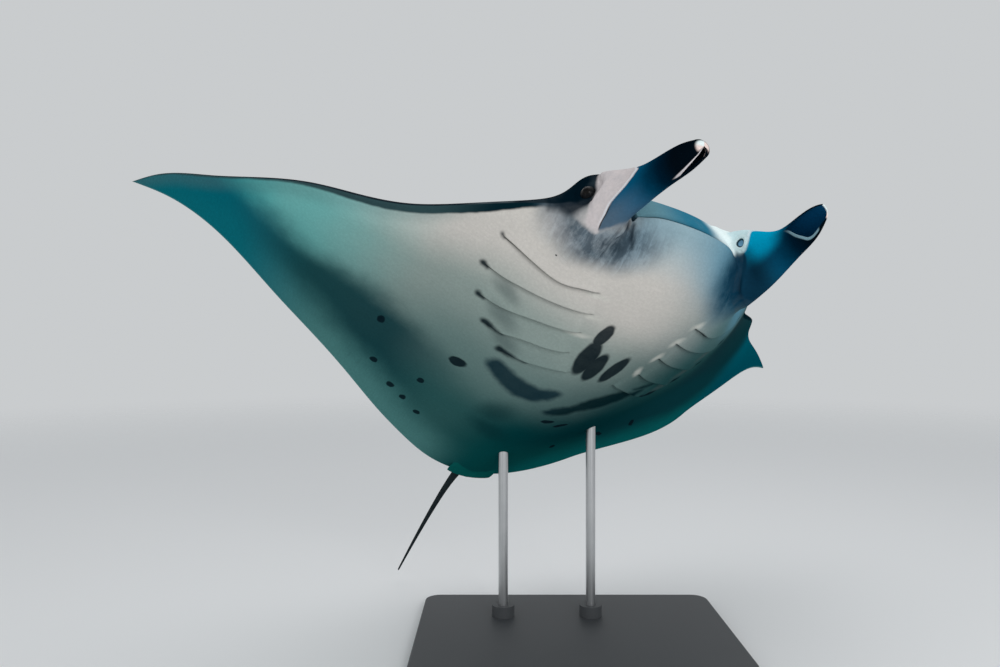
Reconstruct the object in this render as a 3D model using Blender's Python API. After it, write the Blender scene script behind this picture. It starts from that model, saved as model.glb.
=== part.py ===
# Life-size manta ray banking on a display stand, cut into its named parts.
# The animal is shaped lying flat, X to its right, Y forward, Z up its back. Its wings
# are bent, the whole is parted with thin cuts, and the parts are turned into the
# swimming pose. The origin is the middle of the underside of the base, and Z is up.
import math

import bmesh
import bpy
import numpy as np
from mathutils import Matrix, Vector
from mathutils.bvhtree import BVHTree

# driving dimensions, metres and degrees
HALF_SPAN = 1.70
SPAN_STATIONS = 27
CHORD_STATIONS = 15
SEAM = 0.0004
FIT = 0.0004
POCKET_FIT = 0.0010

# half outline of the flat disc: station along the half span, then where the front edge is
FRONT_AT = (0, 0.05, 0.10, 0.14, 0.165, 0.19, 0.215, 0.24, 0.30, 0.36, 0.48, 0.65, 0.825, 0.94, 1)
FRONT_X = (0, 0.085, 0.160, 0.213, 0.250, 0.290, 0.328, 0.356, 0.455, 0.580, 0.800, 1.10, 1.40, 1.60, HALF_SPAN)
FRONT_Y = (0, -0.006, -0.026, -0.052, -0.050, -0.052, -0.075, -0.118, -0.190, -0.268, -0.415, -0.545,
           -0.765, -0.932, -1.056)
REAR_AT = (0, 0.06, 0.20, 0.41, 0.59, 0.765, 0.91, 1)
REAR_Y = (-1.500, -1.498, -1.407, -1.222, -1.096, -0.972, -0.985, -1.056)
MOUTH_AT = (0, 0.10, 0.16, 0.22, 0.30, 1)
MOUTH_Z = (-0.060, -0.058, -0.050, -0.010, 0, 0)
WING_AT = (0, 0.25, 0.45, 0.65, 0.85, 1)
WING_THICK = (0.130, 0.125, 0.085, 0.052, 0.026, 0.010)
EDGE_THICK = 0.005
EDGE_RUN = 0.006

# rise of the back and drop of the belly over the wing plane, by place along the body
BODY_Y = (-1.55, -1.40, -1.20, -1.00, -0.80, -0.60, -0.35, -0.20, -0.10, -0.03, 0.05)
BACK_RISE = (0.033, 0.045, 0.070, 0.105, 0.128, 0.128, 0.100, 0.075, 0.055, 0.030, 0.010)
BACK_WIDE = (0.09, 0.12, 0.17, 0.235, 0.28, 0.32, 0.34, 0.36, 0.37, 0.37, 0.37)
BELLY_DROP = (0.028, 0.041, 0.073, 0.106, 0.131, 0.145, 0.149, 0.136, 0.111, 0.080, 0.060)
BELLY_WIDE = (0.09, 0.14, 0.22, 0.30, 0.37, 0.42, 0.41, 0.37, 0.34, 0.32, 0.31)
BODY_SQUARE = (2.2, 2.2, 2.2, 2.3, 2.4, 2.5, 2.8, 3.4, 3.8, 4.0, 4.0)
LIP_ROUND = 0.055
CHIN_ROUND = 0.15
RUMP_ROUND = 0.11
BROW_X, BROW_Y, BROW_RISE = 0.295, -0.110, 0.094
BROW_IN, BROW_OUT, BROW_LONG = 0.100, 0.148, 0.135

# wings: bend up along the span and twist about their middle line
BEND_AT = (0, 0.2, 0.6, 1.0, 1.35, HALF_SPAN)
BEND_RIGHT = (0, 6.5, 17.7, 23.1, 32.7, 46.7)
BEND_LEFT = (0, 5.7, 24.2, 33.3, 43.7, 48.1)
TWIST_FROM, TWIST_MID = 0.45, 1.0
TWIST_RIGHT = (-5.4, -2.1)
TWIST_LEFT = (11.9, 43.7)
TWIST_AXIS_Y = -0.75

# horn-like cephalic fins, rolled up: middle line, half height, half thickness
HORN_X = (0.288, 0.286, 0.275, 0.258, 0.244, 0.233, 0.225)
HORN_Y = (-0.156, -0.091, -0.020, 0.060, 0.134, 0.200, 0.250)
HORN_Z = {
    1: (0.000, -0.010, -0.049, -0.073, -0.089, -0.109, -0.126),
    -1: (-0.006, -0.035, -0.085, -0.125, -0.143, -0.153, -0.153),
}
HORN_TALL = (0.102, 0.122, 0.104, 0.070, 0.054, 0.046, 0.028)
HORN_THICK = (0.030, 0.036, 0.040, 0.041, 0.040, 0.038, 0.030)
HORN_LEAN_Y = 0.62
HORN_CUT = 0.30
HORN_SIDES = 14

EYE = (0.335, -0.099, 0.023)
EYE_RADIUS = 0.028
JAW_HALF_WIDTH, JAW_BACK = 0.226, -0.160

# tail, small fin on its root, pelvic fins
TAIL_FROM_Y, TAIL_LENGTH = -1.40, 0.80
TAIL_ROOT, TAIL_MID, TAIL_TIP = 0.030, 0.0155, 0.0035
TAIL_RISE, TAIL_SAG, TAIL_SWAY = 0.016, -0.115, 0.050
TAIL_SIDES = 10
TAIL_CUTS = (-1.515, -1.80)
# fin edges: leading and trailing points from the root outward, on the right side
DORSAL_FRONT = ((0, -1.340, 0.020), (0, -1.385, 0.055), (0, -1.435, 0.088), (0, -1.468, 0.106))
DORSAL_REAR = ((0, -1.462, 0.002), (0, -1.474, 0.034), (0, -1.490, 0.072), (0, -1.496, 0.100))
DORSAL_HALF_THICK = 0.010
PELVIC_FRONT = ((0.045, -1.330, -0.022), (0.086, -1.400, -0.028), (0.100, -1.468, -0.029), (0.088, -1.516, -0.025))
PELVIC_REAR = ((0.010, -1.330, -0.022), (0.005, -1.400, -0.028), (0.004, -1.468, -0.031), (0.015, -1.518, -0.027))
PELVIC_HALF_THICK = 0.007

# parting lines
HEAD_CUT_Y = -0.215
WING_CUTS = (0.56, 1.10)

# the pose of the animal and where its own origin stands over the base
HEADING, PITCH, BANK = -139.35, 39.38, -18.99
HANG_AT = (0.33, -0.53, 1.53)

# display stand
BASE_LENGTH, BASE_WIDTH, BASE_THICK = 1.20, 0.80, 0.030
BASE_CORNER, BASE_EDGE = 0.06, 0.005
ROD_RADIUS, ROD_SINK, ROD_SIDES = 0.019, 0.070, 24
SOCKET_RADIUS, SOCKET_TALL = 0.045, 0.045
ROD_FEET = ((-0.27, 0.14), (0.08, 0.14))

COLLECTION, CUTTER_COLLECTION = "manta_ray", "cutters"
SKIN_DARK, SKIN_PALE = (0.030, 0.038, 0.042, 1), (0.55, 0.55, 0.53, 1)
EYE_COLOUR, STAND_COLOUR, ROD_COLOUR = (0.01, 0.01, 0.012, 1), (0.09, 0.09, 0.095, 1), (0.62, 0.62, 0.64, 1)


def spline(knots, values):
    # natural cubic spline through the values, as a function of an array
    k, v = np.asarray(knots, float), np.asarray(values, float)
    n, h = len(k), np.diff(k)
    a, r = np.zeros((n, n)), np.zeros(n)
    a[0, 0] = a[-1, -1] = 1
    for i in range(1, n - 1):
        a[i, i - 1:i + 2] = h[i - 1], 2 * (h[i - 1] + h[i]), h[i]
        r[i] = 6 * ((v[i + 1] - v[i]) / h[i] - (v[i] - v[i - 1]) / h[i - 1])
    m = np.linalg.solve(a, r)

    def at(x):
        x = np.asarray(x, float)
        i = np.clip(np.searchsorted(k, x) - 1, 0, n - 2)
        p, q = (k[i + 1] - x) / h[i], (x - k[i]) / h[i]
        return p * v[i] + q * v[i + 1] + ((p ** 3 - p) * m[i] + (q ** 3 - q) * m[i + 1]) * h[i] ** 2 / 6
    return at


def even(knots, values):
    # the same on both sides of the body
    f = spline([-k for k in knots[:0:-1]] + list(knots), list(values[:0:-1]) + list(values))
    return lambda x: f(np.abs(x))


def odd(knots, values):
    # with its sign turned on the left side
    f = spline([-k for k in knots[:0:-1]] + list(knots), [-v for v in values[:0:-1]] + list(values))
    return lambda x: f(np.abs(x)) * np.sign(x)


front_x, front_y = odd(FRONT_AT, FRONT_X), even(FRONT_AT, FRONT_Y)
rear_y, mouth_z, wing_thick = even(REAR_AT, REAR_Y), even(MOUTH_AT, MOUTH_Z), even(WING_AT, WING_THICK)
back_rise, back_wide = spline(BODY_Y, BACK_RISE), spline(BODY_Y, BACK_WIDE)
belly_drop, belly_wide = spline(BODY_Y, BELLY_DROP), spline(BODY_Y, BELLY_WIDE)
body_square = spline(BODY_Y, BODY_SQUARE)


def rounded(q):
    # quarter ellipse from 0 to 1
    return np.sqrt(1 - (1 - np.clip(q, 0, 1)) ** 2)


def wing_section(c):
    # thickness of a wing along its chord, 1 at its thickest
    return 10 * (0.2969 * np.sqrt(np.clip(c, 0, 1)) - 0.126 * c - 0.3516 * c ** 2 + 0.2843 * c ** 3 - 0.1036 * c ** 4)


def disc_point(s, c, side):
    # flat disc: s from -1 to 1 along the span, c from front to rear, side 1 back or -1 belly
    fx, fy, rx, ry = front_x(s), front_y(s), HALF_SPAN * s, rear_y(s)
    x, y = fx + (rx - fx) * c, fy + (ry - fy) * c
    chord = np.hypot(rx - fx, ry - fy)
    along = c * chord
    thick = wing_thick(s) * wing_section(c)
    fade = rounded((chord - along) / RUMP_ROUND)
    edge = 0.5 * EDGE_THICK * rounded(np.minimum(c, 1 - c) * chord / EDGE_RUN)
    if side > 0:
        grow = rounded(along / LIP_ROUND)
        wide = np.where(np.abs(x) > BROW_X, BROW_OUT, BROW_IN)
        brow = BROW_RISE * np.exp(-((np.abs(x) - BROW_X) / wide) ** 2 - ((y - BROW_Y) / BROW_LONG) ** 2)
        hump = back_rise(y) * np.exp(-(np.abs(x) / back_wide(y)) ** body_square(y)) + brow
        z = mouth_z(s) * (1 - grow) + 0.6 * thick + edge + hump * grow * fade
    else:
        grow = rounded(along / CHIN_ROUND)
        hump = belly_drop(y) * np.exp(-(np.abs(x) / belly_wide(y)) ** body_square(y))
        z = mouth_z(s) * (1 - grow) - 0.4 * thick - edge - hump * grow * fade
    return np.stack(np.broadcast_arrays(x, y, z), -1)


def smooth_step(q):
    q = np.clip(q, 0, 1)
    return q * q * (3 - 2 * q)


def bent(points):
    # raise and twist the wings of flat points
    out = np.array(points, float)
    grid = np.linspace(0, 1.06 * HALF_SPAN, 361)
    step = grid[1] - grid[0]
    for sign, bend, twist in ((1, BEND_RIGHT, TWIST_RIGHT), (-1, BEND_LEFT, TWIST_LEFT)):
        here = out[:, 0] * sign > 0
        span, y, z = np.abs(out[here, 0]), out[here, 1] - TWIST_AXIS_Y, out[here, 2]
        slope = np.radians(spline(BEND_AT, bend)(np.minimum(grid, HALF_SPAN)))
        middle = 0.5 * (slope[1:] + slope[:-1])
        reach = np.interp(span, grid, np.append(0, np.cumsum(np.cos(middle)) * step))
        height = np.interp(span, grid, np.append(0, np.cumsum(np.sin(middle)) * step))
        tilt = np.interp(span, grid, slope)
        first = smooth_step((span - TWIST_FROM) / (TWIST_MID - TWIST_FROM))
        last = smooth_step((span - TWIST_MID) / (HALF_SPAN - TWIST_MID))
        turn = np.radians(twist[0] * first + (twist[1] - twist[0]) * last)
        up = y * np.sin(turn) + z * np.cos(turn)
        out[here, 0] = sign * (reach - np.sin(tilt) * up)
        out[here, 1] = TWIST_AXIS_Y + y * np.cos(turn) - z * np.sin(turn)
        out[here, 2] = height + np.cos(tilt) * up
    return out


def clear_scene():
    for thing in list(bpy.data.objects):
        bpy.data.objects.remove(thing, do_unlink=True)


def new_collection(name):
    group = bpy.data.collections.new(name)
    bpy.context.scene.collection.children.link(group)
    return group


def mesh_object(name, points, faces, group):
    mesh = bpy.data.meshes.new(name)
    mesh.from_pydata([tuple(p) for p in points], [], [tuple(f) for f in faces])
    bm = bmesh.new()
    bm.from_mesh(mesh)
    bmesh.ops.recalc_face_normals(bm, faces=bm.faces)
    bm.to_mesh(mesh)
    bm.free()
    thing = bpy.data.objects.new(name, mesh)
    group.objects.link(thing)
    return thing


def loft(name, rings, group, point_ends=(False, False)):
    # closed rings of equal count joined in turn, each end a cap or the ring's own middle
    points, faces, count = [p for ring in rings for p in ring], [], len(rings[0])
    for i in range(len(rings) - 1):
        for j in range(count):
            k = (j + 1) % count
            a, b = i * count, (i + 1) * count
            faces.append((a + j, a + k, b + k, b + j))
    for end, pointed in enumerate(point_ends):
        first = 0 if end == 0 else (len(rings) - 1) * count
        if pointed:
            points.append(np.mean(points[first:first + count], axis=0))
            faces += [(first + j, first + (j + 1) % count, len(points) - 1) for j in range(count)]
        else:
            faces.append(tuple(range(first, first + count)))
    return mesh_object(name, points, faces, group)


def disc_body(group):
    spread = np.linspace(0, 1, SPAN_STATIONS) ** 1.25
    stations = np.concatenate([-spread[:0:-1], spread])[1:-1]
    back = np.linspace(0, 1, CHORD_STATIONS) ** 1.5
    rings = [np.vstack([disc_point(s, back, 1), disc_point(s, back[-2:0:-1], -1)]) for s in stations]
    body = loft("disc", rings, group, (True, True))
    tips = [len(rings) * len(rings[0]), len(rings) * len(rings[0]) + 1]
    for index, sign in zip(tips, (-1, 1)):
        body.data.vertices[index].co = disc_point(sign * 1.0, 0.5, 1)
    return body


def horn(sign, group):
    # rolled cephalic fin: leaning oval sections along its middle line, with a rounded end
    t = np.linspace(0, 1, len(HORN_X))
    at = np.append(np.linspace(0, 1, 11), (1.02, 1.035, 1.045))
    end = np.append(np.ones(11), (0.86, 0.62, 0.30))
    axis = [spline(t, v) for v in (HORN_X, HORN_Y, HORN_Z[sign], HORN_TALL, HORN_THICK)]
    tall_way = Vector((-0.08, HORN_LEAN_Y, 1)).normalized()
    rings = []
    for q, shrink in zip(at, end):
        x, y, z, tall, thick = (float(f(q)) for f in axis)
        ring = []
        for a in np.linspace(0, 2 * math.pi, HORN_SIDES, endpoint=False):
            p = Vector((x, y, z)) + tall_way * tall * shrink * math.cos(a)
            p.x += thick * shrink * math.sin(a)
            ring.append((p.x * sign, p.y, p.z))
        rings.append(ring)
    return loft("horn", rings, group, (False, True))


def tail_middle(q):
    sway = TAIL_SWAY * (1 - math.exp(-8 * q)) * (1 - q)
    return Vector((sway, TAIL_FROM_Y - TAIL_LENGTH * q, TAIL_RISE * (1 - q) + TAIL_SAG * q ** 1.4))


def tail(group):
    rings = []
    for q in np.linspace(0, 1, 15) ** 1.2:
        mid = tail_middle(q)
        radius = TAIL_TIP + (TAIL_MID - TAIL_TIP) * (1 - q) + (TAIL_ROOT - TAIL_MID) * math.exp(-9 * q)
        rings.append([(mid.x + radius * math.cos(a), mid.y, mid.z + radius * math.sin(a))
                      for a in np.linspace(0, 2 * math.pi, TAIL_SIDES, endpoint=False)])
    return loft("tail", rings, group)


def fin_blade(name, sign, front, rear, half_thick, across, group, spare=0.0, levels=7, sides=12):
    # thin lens sections between a leading and a trailing edge; spare makes it a little larger all round
    t = np.linspace(0, 1, len(front))
    edges = [[spline(t, [p[axis] for p in edge]) for axis in range(3)] for edge in (front, rear)]
    rings = []
    for q in np.linspace(0, 1, levels).tolist():
        lead, trail = (Vector([float(f(q)) for f in edge]) for edge in edges)
        middle, half = (lead + trail) / 2, (lead - trail) / 2
        half += half.normalized() * spare
        thick = Vector(across) * (half_thick * (1 - 0.6 * q) + spare)
        if q in (0, 1):
            middle += (q - 0.5) * 2 * spare * (Vector(front[-1]) - Vector(front[0])).normalized()
        turns = [2 * math.pi * i / sides for i in range(sides)]
        ring = [middle + half * math.cos(a) + thick * math.sin(a) for a in turns]
        rings.append([(p.x * sign, p.y, p.z) for p in ring])
    return loft(name, rings, group)


def combine(target, other, operation):
    step = target.modifiers.new("step", "BOOLEAN")
    step.operation, step.solver, step.object = operation, "EXACT", other
    shape = target.evaluated_get(bpy.context.evaluated_depsgraph_get())
    result = bpy.data.meshes.new_from_object(shape)
    target.modifiers.clear()
    target.data = result
    return target


def absorb(target, other):
    combine(target, other, "UNION")
    bpy.data.objects.remove(other, do_unlink=True)


def triangulate(thing):
    bm = bmesh.new()
    bm.from_mesh(thing.data)
    bmesh.ops.triangulate(bm, faces=bm.faces)
    bm.to_mesh(thing.data)
    bm.free()


def as_cutter(thing):
    thing.hide_render = True
    thing.display_type = "WIRE"
    return thing


def slab(name, centre, along, across, size, group):
    # thin box of the seam's width, flat across its normal
    normal = Vector(along).cross(Vector(across)).normalized()
    axes = Matrix((Vector(along).normalized(), normal.cross(Vector(along)).normalized(), normal)).transposed()
    half = (size[0] / 2, size[1] / 2, SEAM / 2)
    points = [Vector(centre) + axes @ Vector((i * half[0], j * half[1], k * half[2]))
              for i in (-1, 1) for j in (-1, 1) for k in (-1, 1)]
    faces = [(0, 1, 3, 2), (4, 6, 7, 5), (0, 4, 5, 1), (2, 3, 7, 6), (0, 2, 6, 4), (1, 5, 7, 3)]
    return as_cutter(mesh_object(name, points, faces, group))


def station_slab(name, span, sign, group):
    # cut across a wing, square to its bent middle line
    middle, fore, up, = bent(np.array([(sign * span, TWIST_AXIS_Y, 0), (sign * span, TWIST_AXIS_Y + 0.1, 0),
                                       (sign * span, TWIST_AXIS_Y, 0.1)]))
    return slab(name, middle, fore - middle, up - middle, (2.4, 0.8), group)


def parting_slabs(group):
    x_way, y_way, z_way = (1, 0, 0), (0, 1, 0), (0, 0, 1)
    slabs = [slab("cut_head", (0, HEAD_CUT_Y, 0), x_way, z_way, (1.4, 1.2), group)]
    jaw_z = MOUTH_Z[0]
    jaw_long = 0.12 - JAW_BACK
    jaw_mid = JAW_BACK + jaw_long / 2
    slabs.append(slab("cut_jaw_top", (0, jaw_mid, jaw_z), x_way, y_way, (2 * JAW_HALF_WIDTH, jaw_long), group))
    slabs.append(slab("cut_jaw_back", (0, JAW_BACK, jaw_z - 0.2), x_way, z_way,
                      (2 * JAW_HALF_WIDTH + SEAM, 0.4 + SEAM), group))
    for sign, side in ((1, "right"), (-1, "left")):
        slabs.append(slab("cut_jaw_" + side, (sign * JAW_HALF_WIDTH, jaw_mid, jaw_z - 0.2), y_way, z_way,
                          (jaw_long + SEAM, 0.4 + SEAM), group))
        for number, span in enumerate(WING_CUTS):
            slabs.append(station_slab(f"cut_wing_{side}_{number}", span, sign, group))
        t = np.linspace(0, 1, len(HORN_X))
        middle = [spline(t, v) for v in (HORN_X, HORN_Y, HORN_Z[sign])]
        here, ahead = ([float(line(q)) for line in middle] for q in (HORN_CUT, HORN_CUT + 0.1))
        tall_way = Vector((-0.08 * sign, HORN_LEAN_Y, 1))
        across = (Vector(ahead) - Vector(here)).cross(tall_way)
        slabs.append(slab("cut_horn_" + side, (here[0] * sign, here[1], here[2]), tall_way,
                          (1, 0, 0), (0.30, 0.13), group))
    for number, y in enumerate(TAIL_CUTS):
        slabs.append(slab(f"cut_tail_{number}", (0, y, -0.03), x_way, z_way, (0.16, 0.2), group))
    return slabs


PART_AT = {
    "head": (0, -0.12, 0.03), "lower_jaw": (0, -0.08, -0.12), "trunk": (0, -0.75, 0),
    "pectoral_fin_right_inner": (0.80, -0.80, 0.20), "pectoral_fin_right_outer": (1.30, -0.88, 0.45),
    "pectoral_fin_left_inner": (-0.80, -0.80, 0.25), "pectoral_fin_left_outer": (-1.25, -0.88, 0.60),
    "cephalic_fin_right": (0.24, 0.13, -0.12), "cephalic_fin_left": (-0.24, 0.13, -0.12),
    "tail_root": (0, -1.66, -0.03), "tail_whip": (0, -2.00, -0.09),
}


def split_parts(whole, group):
    # each loose piece becomes a part, named by the nearest place in PART_AT
    bm = bmesh.new()
    bm.from_mesh(whole.data)
    seen, found = set(), {}
    for face in bm.faces:
        if face in seen:
            continue
        stack, island = [face], []
        seen.add(face)
        while stack:
            here = stack.pop()
            island.append(here)
            for edge in here.edges:
                for near in edge.link_faces:
                    if near not in seen:
                        seen.add(near)
                        stack.append(near)
        verts = {v for f in island for v in f.verts}
        low = Vector([min(v.co[i] for v in verts) for i in range(3)])
        high = Vector([max(v.co[i] for v in verts) for i in range(3)])
        middle = (low + high) / 2
        name = min(PART_AT, key=lambda n: (Vector(PART_AT[n]) - middle).length)
        order = {v: i for i, v in enumerate(sorted(verts, key=lambda v: v.index))}
        if name in found:
            raise ValueError(f"two pieces near {name}: {tuple(middle)}")
        found[name] = mesh_object(name, [v.co for v in order], [[order[v] for v in f.verts] for f in island], group)
    bm.free()
    bpy.data.objects.remove(whole, do_unlink=True)
    return found


def ball(name, centre, radius, group, rings=10, sides=16):
    mesh = bpy.data.meshes.new(name)
    bm = bmesh.new()
    bmesh.ops.create_uvsphere(bm, u_segments=sides, v_segments=rings, radius=radius)
    bmesh.ops.translate(bm, verts=bm.verts, vec=centre)
    bm.to_mesh(mesh)
    bm.free()
    thing = bpy.data.objects.new(name, mesh)
    group.objects.link(thing)
    return thing


def pose_matrix():
    turn = [Matrix.Rotation(math.radians(a), 4, axis) for a, axis in ((HEADING, "Z"), (PITCH, "X"), (BANK, "Y"))]
    return Matrix.Translation(HANG_AT) @ turn[0] @ turn[1] @ turn[2]


def pin(name, radius, low, high, at, group, sides=ROD_SIDES):
    mesh = bpy.data.meshes.new(name)
    bm = bmesh.new()
    bmesh.ops.create_cone(bm, cap_ends=True, segments=sides, radius1=radius, radius2=radius, depth=high - low)
    bmesh.ops.translate(bm, verts=bm.verts, vec=(at[0], at[1], (low + high) / 2))
    bm.to_mesh(mesh)
    bm.free()
    thing = bpy.data.objects.new(name, mesh)
    group.objects.link(thing)
    return thing


def base_plate(group):
    mesh = bpy.data.meshes.new("stand_base")
    bm = bmesh.new()
    bmesh.ops.create_cube(bm, size=1)
    bmesh.ops.scale(bm, verts=bm.verts, vec=(BASE_LENGTH, BASE_WIDTH, BASE_THICK))
    bmesh.ops.translate(bm, verts=bm.verts, vec=(0, 0, BASE_THICK / 2))
    uprights = [e for e in bm.edges if abs(e.verts[0].co.z - e.verts[1].co.z) > BASE_THICK / 2]
    bmesh.ops.bevel(bm, geom=uprights, offset=BASE_CORNER, segments=6, affect="EDGES", profile=0.5)
    rim = [e for e in bm.edges if all(abs(v.co.z - BASE_THICK) < 1e-5 for v in e.verts)]
    bmesh.ops.bevel(bm, geom=rim, offset=BASE_EDGE, segments=2, affect="EDGES", profile=0.5)
    bm.to_mesh(mesh)
    bm.free()
    thing = bpy.data.objects.new("stand_base", mesh)
    group.objects.link(thing)
    return thing


def paint(thing, slot, colour, roughness, metallic=0.0):
    material = bpy.data.materials.get(slot) or bpy.data.materials.new(slot)
    material.use_nodes = True
    surface = material.node_tree.nodes["Principled BSDF"]
    surface.inputs["Base Color"].default_value = colour
    surface.inputs["Roughness"].default_value = roughness
    surface.inputs["Metallic"].default_value = metallic
    thing.data.materials.clear()
    thing.data.materials.append(material)


SMALL_FINS = {
    "pelvic_fin_right": (1, PELVIC_FRONT, PELVIC_REAR, PELVIC_HALF_THICK, (0, 0, 1)),
    "pelvic_fin_left": (-1, PELVIC_FRONT, PELVIC_REAR, PELVIC_HALF_THICK, (0, 0, 1)),
    "dorsal_fin": (1, DORSAL_FRONT, DORSAL_REAR, DORSAL_HALF_THICK, (1, 0, 0)),
}


def bend_object(thing):
    triangulate(thing)
    places = np.array([v.co for v in thing.data.vertices])
    thing.data.vertices.foreach_set("co", bent(places).ravel())


def animal_parts(group, cutters):
    whole = disc_body(group)
    for sign in (1, -1):
        absorb(whole, horn(sign, group))
    absorb(whole, tail(group))
    fins = {}
    for name, shape in SMALL_FINS.items():
        pocket = as_cutter(fin_blade("pocket_" + name, *shape, cutters, spare=POCKET_FIT))
        combine(whole, pocket, "DIFFERENCE")
        fins[name] = fin_blade(name, *shape, group)
        bend_object(fins[name])
    bend_object(whole)
    for cutter in parting_slabs(cutters):
        combine(whole, cutter, "DIFFERENCE")
    parts = split_parts(whole, group)
    parts.update(fins)
    return parts


def add_eyes(parts, group, cutters):
    for sign, side in ((1, "right"), (-1, "left")):
        centre = bent(np.array([(EYE[0] * sign, EYE[1], EYE[2])]))[0]
        name = "eye_" + side
        parts[name] = ball(name, centre, EYE_RADIUS, group)
        socket = as_cutter(ball("socket_" + side, centre, EYE_RADIUS + FIT, cutters))
        combine(parts["head"], socket, "DIFFERENCE")


def add_stand(parts, group, cutters):
    stand = {"stand_base": base_plate(group)}
    trunk = parts["trunk"]
    tree = BVHTree.FromPolygons([v.co for v in trunk.data.vertices], [p.vertices for p in trunk.data.polygons])
    for number, (x, y) in enumerate(ROD_FEET, 1):
        entry = tree.ray_cast(Vector((x, y, 0)), Vector((0, 0, 1)))[0]
        top = entry.z + ROD_SINK
        low = BASE_THICK - 0.018
        rod = pin(f"stand_rod_{number}", ROD_RADIUS, low, top, (x, y), group)
        boss = pin(f"stand_socket_{number}", SOCKET_RADIUS, BASE_THICK + FIT, BASE_THICK + SOCKET_TALL, (x, y), group)
        bore = as_cutter(pin(f"bore_{number}", ROD_RADIUS + FIT, low - FIT, top + FIT, (x, y), cutters))
        for thing in (trunk, boss, stand["stand_base"]):
            combine(thing, bore, "DIFFERENCE")
        stand[rod.name], stand[boss.name] = rod, boss
    return stand


def build():
    clear_scene()
    group, cutters = new_collection(COLLECTION), new_collection(CUTTER_COLLECTION)
    parts = animal_parts(group, cutters)
    add_eyes(parts, group, cutters)
    for thing in list(parts.values()) + list(cutters.objects):
        thing.data.transform(pose_matrix())
    stand = add_stand(parts, group, cutters)
    for name, thing in parts.items():
        triangulate(thing)
        if name.startswith("eye_"):
            paint(thing, "eye_gloss", EYE_COLOUR, 0.08)
        elif name in ("lower_jaw", "trunk"):
            paint(thing, "skin_pale", SKIN_PALE, 0.45)
        else:
            paint(thing, "skin_dark", SKIN_DARK, 0.45)
    for name, thing in stand.items():
        if name.startswith("stand_rod"):
            paint(thing, "rod_steel", ROD_COLOUR, 0.3, 1.0)
        else:
            paint(thing, "stand_paint", STAND_COLOUR, 0.5)
    triangles = sum(sum(len(p.vertices) - 2 for p in o.data.polygons) for o in group.objects)
    print("parts", len(group.objects), "triangles", triangles)


build()
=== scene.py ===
# Life-size manta ray on a display stand: one skin, two eyes and the finishes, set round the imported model.
import math
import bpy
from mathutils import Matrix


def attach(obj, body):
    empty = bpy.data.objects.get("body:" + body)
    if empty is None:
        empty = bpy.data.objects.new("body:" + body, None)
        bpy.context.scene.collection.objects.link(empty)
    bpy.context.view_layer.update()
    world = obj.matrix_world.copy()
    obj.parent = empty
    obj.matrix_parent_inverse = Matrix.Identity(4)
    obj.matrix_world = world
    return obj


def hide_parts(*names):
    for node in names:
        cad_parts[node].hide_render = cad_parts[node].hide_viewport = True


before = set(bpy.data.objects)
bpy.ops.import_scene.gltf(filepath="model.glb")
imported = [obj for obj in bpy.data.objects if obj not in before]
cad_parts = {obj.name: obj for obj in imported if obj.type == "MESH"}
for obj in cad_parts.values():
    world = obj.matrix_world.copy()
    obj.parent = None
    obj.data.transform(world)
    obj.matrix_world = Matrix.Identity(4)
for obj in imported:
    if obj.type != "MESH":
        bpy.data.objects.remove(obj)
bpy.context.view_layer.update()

from types import SimpleNamespace

import bpy
import numpy as np
from mathutils import Matrix, Vector
from mathutils.bvhtree import BVHTree


# the body laid flat, in metres: x out along the span, y ahead, z up; then the bend of the wings and the pose
disc = {
    "halfSpan": 1.70,
    "frontAt": (0, 0.05, 0.10, 0.14, 0.165, 0.19, 0.215, 0.24, 0.30, 0.36, 0.48, 0.65, 0.825, 0.94, 1),
    "frontX": (0, 0.085, 0.160, 0.213, 0.250, 0.290, 0.328, 0.356, 0.455, 0.580, 0.800, 1.10, 1.40, 1.60,
               1.70),
    "frontY": (0, -0.006, -0.026, -0.052, -0.050, -0.052, -0.075, -0.118, -0.190, -0.268, -0.415, -0.545,
               -0.765, -0.932, -1.056),
    "rearAt": (0, 0.06, 0.20, 0.41, 0.59, 0.765, 0.91, 1),
    "rearY": (-1.500, -1.498, -1.407, -1.222, -1.096, -0.972, -0.985, -1.056),
    "mouthAt": (0, 0.10, 0.16, 0.22, 0.30, 1), "mouthZ": (-0.060, -0.058, -0.050, -0.010, 0, 0),
    "wingAt": (0, 0.25, 0.45, 0.65, 0.85, 1), "wingThick": (0.130, 0.125, 0.085, 0.052, 0.026, 0.010),
    "edgeThick": 0.005, "edgeRun": 0.006,
    "bodyY": (-1.55, -1.40, -1.20, -1.00, -0.80, -0.60, -0.35, -0.20, -0.10, -0.03, 0.05),
    "backRise": (0.033, 0.045, 0.070, 0.105, 0.128, 0.128, 0.100, 0.075, 0.055, 0.030, 0.010),
    "backWide": (0.09, 0.12, 0.17, 0.235, 0.28, 0.32, 0.34, 0.36, 0.37, 0.37, 0.37),
    "bellyDrop": (0.028, 0.041, 0.073, 0.106, 0.131, 0.145, 0.149, 0.136, 0.111, 0.080, 0.060),
    "bellyWide": (0.09, 0.14, 0.22, 0.30, 0.37, 0.42, 0.41, 0.37, 0.34, 0.32, 0.31),
    "bodySquare": (2.2, 2.2, 2.2, 2.3, 2.4, 2.5, 2.8, 3.4, 3.8, 4.0, 4.0),
    "lipRound": 0.055, "chinRound": 0.15, "rumpRound": 0.11,
    # how far apart the points are: runs of (until, step)
    "stations": ((0.34, 0.0017), (0.95, 0.006), (0.9985, 0.003)),
    "backRows": ((0.03, 0.0016), (0.25, 0.003), (0.97, 0.008), (1, 0.004)),
    "bellyRows": ((0.03, 0.0016), (0.50, 0.0020), (0.97, 0.006), (1, 0.003)),
    "browX": 0.295, "browY": -0.110, "browRise": 0.094, "browIn": 0.100, "browOut": 0.148,
    "browLong": 0.135,
}
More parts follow.
